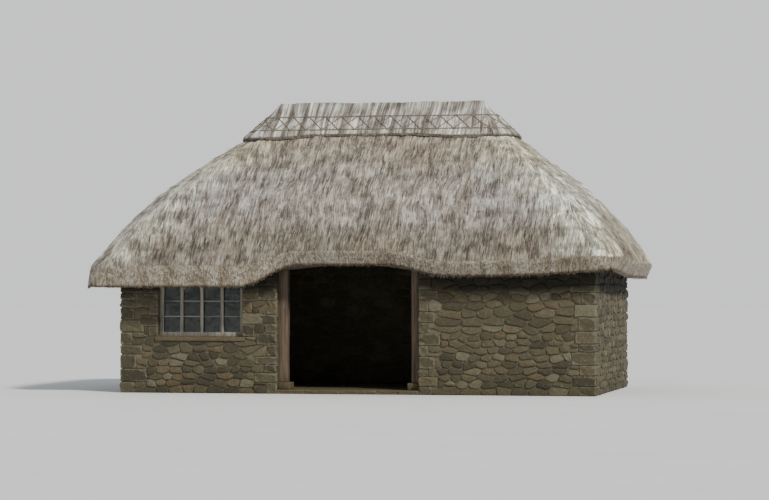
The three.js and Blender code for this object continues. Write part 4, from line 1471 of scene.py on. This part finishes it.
def trim_flag(bm, seed):
    """Trims one flag to the room, or to the bay where it lies in the way in."""
    sides = [((-3.38, 0), (-1, 0)), ((3.38, 0), (1, 0)), ((0, 1.68), (0, 1))]
    if BAY[0] < seed[0] < BAY[1]:
        sides += [((0, -2.09), (0, -1)), ((THRESHOLD[0], 0), (-1, 0)),
                  ((THRESHOLD[-1], 0), (1, 0))]
    else:
        sides.append(((0, -1.69), (0, -1)))
    for point, normal in sides:
        clip(bm, point, normal)


def build_flags():
    """All the flags of the floor and the threshold, as one piece."""
    rng = random.Random(41)
    lift = Matrix.Translation((0, 0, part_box("floor")[1].z))
    whole = new_wall()
    seeds = flag_points(rng)
    for seed in seeds:
        near = sorted((s for s in seeds if s != seed),
                      key=lambda s: (s[0] - seed[0]) ** 2 + (s[1] - seed[1]) ** 2)
        bm = trimmed_cell(seed, near[:9], joint=FLAG_JOINT, stretch=1.15)
        trim_flag(bm, seed)
        if bm.faces and area_of(bm) > 0.01 and raise_stone(bm, FLAG_PROUD, FLAG_CROWN, rng):
            join(whole, bm, lift, rng.random())
        bm.free()
    for x0, x1 in zip(THRESHOLD, THRESHOLD[1:]):
        block(whole, (x0 + 0.004, -2.112, 0.002), (x1 - 0.004, -1.93, 0.066), rng,
              soft=0.008, rough=0.003)
    add_piece("flagstones", whole, FLAGS)


build_flags()

# %% [markdown]
# ## Old oak
# The timbers are oak gone brown, with long grain along each beam and darker cracks in it. The
# grain is a noise stretched along the timber: a Mapping node of the texture kind turns the
# pattern to the timber's direction and sets the size of its cell, long one way and fine the
# others. The group gives colour and height, and each direction has its own material.

# %% The oak's materials
GRAIN_SIZE = (0.55, 0.028, 0.028)
CRACK = (0.012, 0.009, 0.006)
BROWN = ((0.050, 0.034, 0.021), (0.150, 0.108, 0.070))
SILVER = ((0.145, 0.130, 0.104), (0.330, 0.305, 0.257))
SLOPE = 1.02
DIRECTIONS = {
    "along": (1, 0, 0), "across": (0, 1, 0), "up": (0, 0, 1),
    "front_slope": (0, 1, SLOPE), "back_slope": (0, -1, SLOPE),
    "left_slope": (1, 0, SLOPE), "right_slope": (-1, 0, SLOPE),
    "front_left": (1, 1, SLOPE), "front_right": (-1, 1, SLOPE),
    "back_left": (1, -1, SLOPE), "back_right": (-1, -1, SLOPE),
}


def build_oak_group():
    """Grain along X, as a node group: a colour between dark and light, and a height."""
    g, given, out = new_group(
        "oak_grain",
        {"Vector": "NodeSocketVector", "Dark": "NodeSocketColor", "Light": "NodeSocketColor"},
        {"Color": "NodeSocketColor", "Height": "NodeSocketFloat"},
    )
    vector, dark, light = given[0], given[1], given[2]
    grain = g.noise(vector, 1.0, 5.0, 0.65)
    fibre = g.noise(g.scaled(vector, (1.0, 6.0, 6.0)), 1.0, 2.0, 0.6)
    seam = g.noise(g.scaled(vector, (0.5, 0.9, 0.9)), 1.0, 1.0)
    crack = g.math("SUBTRACT", g.span(seam, 0.50, 0.515), g.span(seam, 0.52, 0.535))
    tone = g.math("MULTIPLY_ADD", fibre, 0.35, g.math("MULTIPLY", grain, 0.65))
    colour = g.mix(g.span(tone, 0.38, 0.62), dark, light)
    colour = g.mix(g.math("MULTIPLY", crack, 0.75), colour, CRACK)
    height = g.math("SUBTRACT", tone, g.math("MULTIPLY", crack, 0.8))
    g.tree.links.new(colour, out.inputs[0])
    g.tree.links.new(height, out.inputs[1])


def oak_material(name, direction, dark, light):
    """Oak with its grain along one direction."""
    material, g, shader = new_material(name, roughness=0.75)
    turn = Vector(direction).normalized().to_track_quat("X", "Z").to_euler()
    mapping = g.node("ShaderNodeMapping", {"Vector": g.place(), "Rotation": turn,
                                           "Scale": GRAIN_SIZE}, vector_type="TEXTURE")
    inputs = {"Vector": mapping.outputs[0], "Dark": (*dark, 1), "Light": (*light, 1)}
    made = use_group(g, "oak_grain", inputs)
    wire(g, shader, made["Color"], made["Height"], depth=0.004)
    return material


build_oak_group()
OAK = {name: oak_material(f"oak_{name}", way, *BROWN) for name, way in DIRECTIONS.items()}
PALE_UP = oak_material("pale_oak_up", DIRECTIONS["up"], *SILVER)
print("oak in", len(OAK), "directions")

# %% [markdown]
# ## Worked timber
# A beam straight from the model has edges as sharp as glass. Its merged copy gets flat faces
# back by dissolving the triangles' diagonals, then a bevel on every sharp edge, worn rounder
# than a plane would leave it, and last slices along its length, so that the sides can wander by
# a few millimetres. The padstones and sills are worked the same way.

# %% Turn plain timbers into worked ones
def worked(name, node, material, edge=0.008, slices=0, wander=0.0):
    """A timber or squared stone with soft, slightly wandering faces, in place of its node."""
    bm = merged_copy(node)
    bmesh.ops.dissolve_limit(bm, angle_limit=math.radians(1), verts=bm.verts, edges=bm.edges)
    bmesh.ops.bevel(bm, geom=sharp_edges(bm), offset=edge, segments=2, profile=0.5,
                    affect="EDGES", clamp_overlap=True, material=-1)
    low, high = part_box(node)
    axis = max(range(3), key=lambda i: (high - low)[i])
    normal = Vector((0, 0, 0))
    normal[axis] = 1
    for i in range(1, slices):
        bmesh.ops.bisect_plane(bm, geom=bm.verts[:] + bm.edges[:] + bm.faces[:],
                               plane_co=low + (high - low) * i / slices, plane_no=normal)
    if wander:
        spots = np.array([v.co for v in bm.verts])
        moves = np.column_stack([noise_of(spots * 4.3, seed) for seed in (51, 52, 53)]) * wander
        for vertex, move in zip(bm.verts, moves):
            vertex.co += Vector(move)
    piece = add_piece(name, bm, material, [node])
    piece.data.shade_smooth()
    piece.data.set_sharp_from_angle(angle=math.radians(32))
    return piece


for side in ("left", "right"):
    worked(f"post_{side}", f"bay_post_{side}", OAK["up"], edge=0.010, slices=12, wander=0.004)
    worked(f"pad_{side}", f"padstone_{side}", FLAGS, 0.014, 4, 0.005)
    worked(f"tie_{side}", f"tie_beam_{side}", OAK["across"], edge=0.012, slices=20, wander=0.006)
    worked(f"king_{side}", f"king_post_{side}", OAK["up"], slices=10, wander=0.005)
    for end in ("front", "back"):
        worked(f"brace_{side}_{end}", f"strut_{side}_{end}", OAK[f"{end}_slope"])
worked("open_bay_beam", "bay_beam", OAK["along"], edge=0.012, slices=18, wander=0.006)
for side in ("front", "back"):
    worked(f"{side}_lintel", f"{side}_window_lintel", OAK["along"], edge=0.012, slices=12,
           wander=0.006)
    worked(f"{side}_sill", f"{side}_window_sill", FLAGS, 0.010, 10, 0.004)
    worked(f"{side}_casement", f"{side}_window_frame", PALE_UP, edge=0.005)

# %% Finish the timbers that stay as they are
LEFT_AS_THEY_ARE = {
    "along": ("wall_plate_front_left", "wall_plate_front_right", "wall_plate_back", "ridge_board"),
    "across": ("wall_plate_left", "wall_plate_right"),
    "front_slope": ("rafters_front",), "back_slope": ("rafters_back",),
    "left_slope": ("rafters_left",), "right_slope": ("rafters_right",),
    "front_left": ("hip_rafter_front_left",), "front_right": ("hip_rafter_front_right",),
    "back_left": ("hip_rafter_back_left",), "back_right": ("hip_rafter_back_right",),
}
for way, names in LEFT_AS_THEY_ARE.items():
    for name in names:
        finish_node(name, OAK[way])
print("plain timbers:", sum(len(names) for names in LEFT_AS_THEY_ARE.values()))

# %% [markdown]
# ## Glass and bars
# The lights are old glass, so it is a little green and not quite flat. Its wave is a bump on the
# node's own face. Thin bars stand on both sides of the glass, two across each light, because no
# pane that tall was made in one piece.

# %% Glaze the windows
LIGHTS, MULLION = 4, 0.05
BAR_PLACES = (0.335, 0.665)
BAR_DEEP, BAR_HALF, OFF_GLASS = 0.013, 0.009, 0.0005
bar_random = random.Random(3)


def glass_material():
    """Old glass: a slow wave, and rain marks that roughen it here and there."""
    material, g, shader = new_material("old_glass", roughness=0.06)
    shader.inputs["Base Color"].default_value = (0.38, 0.45, 0.42, 1.0)
    shader.inputs["Transmission Weight"].default_value = 1.0
    shader.inputs["IOR"].default_value = 1.5
    place = g.place()
    bump = g.node("ShaderNodeBump", {"Height": g.noise(place, 5.0, 2.0), "Distance": 0.004,
                                     "Strength": 0.6})
    g.tree.links.new(bump.outputs[0], shader.inputs["Normal"])
    rain = g.span(g.noise(place, 11.0, 4.0), 0.45, 0.75, 0.05, 0.22)
    g.tree.links.new(rain, shader.inputs["Roughness"])
    return material


def glazing_bars(side):
    """Slim bars across each light, on both sides of the glass."""
    low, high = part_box(f"{side}_window_glass")
    bars = new_wall()
    step = (high.x - low.x + MULLION) / LIGHTS
    for i in range(LIGHTS):
        x0, x1 = low.x + i * step - 0.006, low.x + (i + 1) * step - 0.044
        for part in BAR_PLACES:
            z = low.z + part * (high.z - low.z)
            for y0, y1 in ((low.y - BAR_DEEP, low.y - OFF_GLASS),
                           (high.y + OFF_GLASS, high.y + BAR_DEEP)):
                block(bars, (x0, y0, z - BAR_HALF), (x1, y1, z + BAR_HALF), bar_random,
                      soft=0.003, rough=0.0)
    add_piece(f"{side}_glazing_bars", bars, PALE_ALONG)


PALE_ALONG = oak_material("pale_oak_along", DIRECTIONS["along"], *SILVER)
GLASS = glass_material()
for side in ("front", "back"):
    finish_node(f"{side}_window_glass", GLASS)
    glazing_bars(side)

# %% [markdown]
# ## Battens
# Inside, rows of thin battens cross over the rafters and carry the straw. They lie in the depth
# that the thatch was drawn back by. Each is a long cube, level along its own slope, and ends
# where the slopes meet. The rafters' upper face starts from one line over the walls, and each row
# stands in from it by its height over the slope.

# %% Nail on the battens
BATTEN_PITCH, BATTEN_WIDE, BATTEN_THICK, BATTEN_LIFT = 0.26, 0.034, 0.018, 0.011
FIRST_BATTEN, LAST_BATTEN = 2.40, 4.10
UNDER_Y, UNDER_Z = 2.42, 1.83


def batten(length, long_x, turn):
    """One batten at the origin, level and tipped to its slope."""
    bm = bmesh.new()
    bmesh.ops.create_cube(bm, size=1.0)
    size = (length, BATTEN_WIDE, BATTEN_THICK) if long_x else (BATTEN_WIDE, length, BATTEN_THICK)
    bmesh.ops.scale(bm, vec=size, verts=bm.verts)
    tip = Matrix.Rotation(turn, 3, "X" if long_x else "Y")
    bmesh.ops.rotate(bm, verts=bm.verts, cent=(0, 0, 0), matrix=tip)
    return bm


def build_battens():
    """The rows of battens on all four slopes, as one piece."""
    rng = random.Random(8)
    whole = new_wall()
    angle = math.atan(SLOPE)
    for z in np.arange(FIRST_BATTEN, LAST_BATTEN, BATTEN_PITCH):
        inset = UNDER_Y - (z - UNDER_Z) / SLOPE
        for x, y, turn, half, out in ((0, -1, angle, RIDGE_END + inset, inset),
                                      (0, 1, -angle, RIDGE_END + inset, inset),
                                      (-1, 0, -angle, inset, RIDGE_END + inset),
                                      (1, 0, angle, inset, RIDGE_END + inset)):
            bm = batten(2 * half - 0.10, x == 0, turn)
            normal = Vector((x * math.sin(angle), y * math.sin(angle), math.cos(angle)))
            spot = Vector((x * out, y * out, z)) + normal * BATTEN_LIFT
            join(whole, bm, Matrix.Translation(spot), rng.random())
            bm.free()
    add_piece("battens", whole, OAK["along"])


build_battens()

# %% [markdown]
# ## Pegs
# Oak frames are pinned with oak pegs, left a finger's width proud. Two go through the beam over
# each post.

# %% Drive the pegs
POSTS_X = (-1.175, 0.975)
PEG_PLACES = ((-0.035, 2.015), (0.035, 2.06))


def build_pegs():
    """The pegs in the front of the beam, as one piece."""
    whole, rng = new_wall(), random.Random(12)
    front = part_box("bay_beam")[0].y
    lying = Matrix.Rotation(math.pi / 2, 4, "X")
    for post in POSTS_X:
        for aside, z in PEG_PLACES:
            bm = bmesh.new()
            bmesh.ops.create_cone(bm, cap_ends=True, segments=10, radius1=0.013, radius2=0.011,
                                  depth=0.04, matrix=lying)
            join(whole, bm, Matrix.Translation((post + aside, front, z)), rng.random())
            bm.free()
    add_piece("beam_pegs", whole, OAK["across"])


build_pegs()
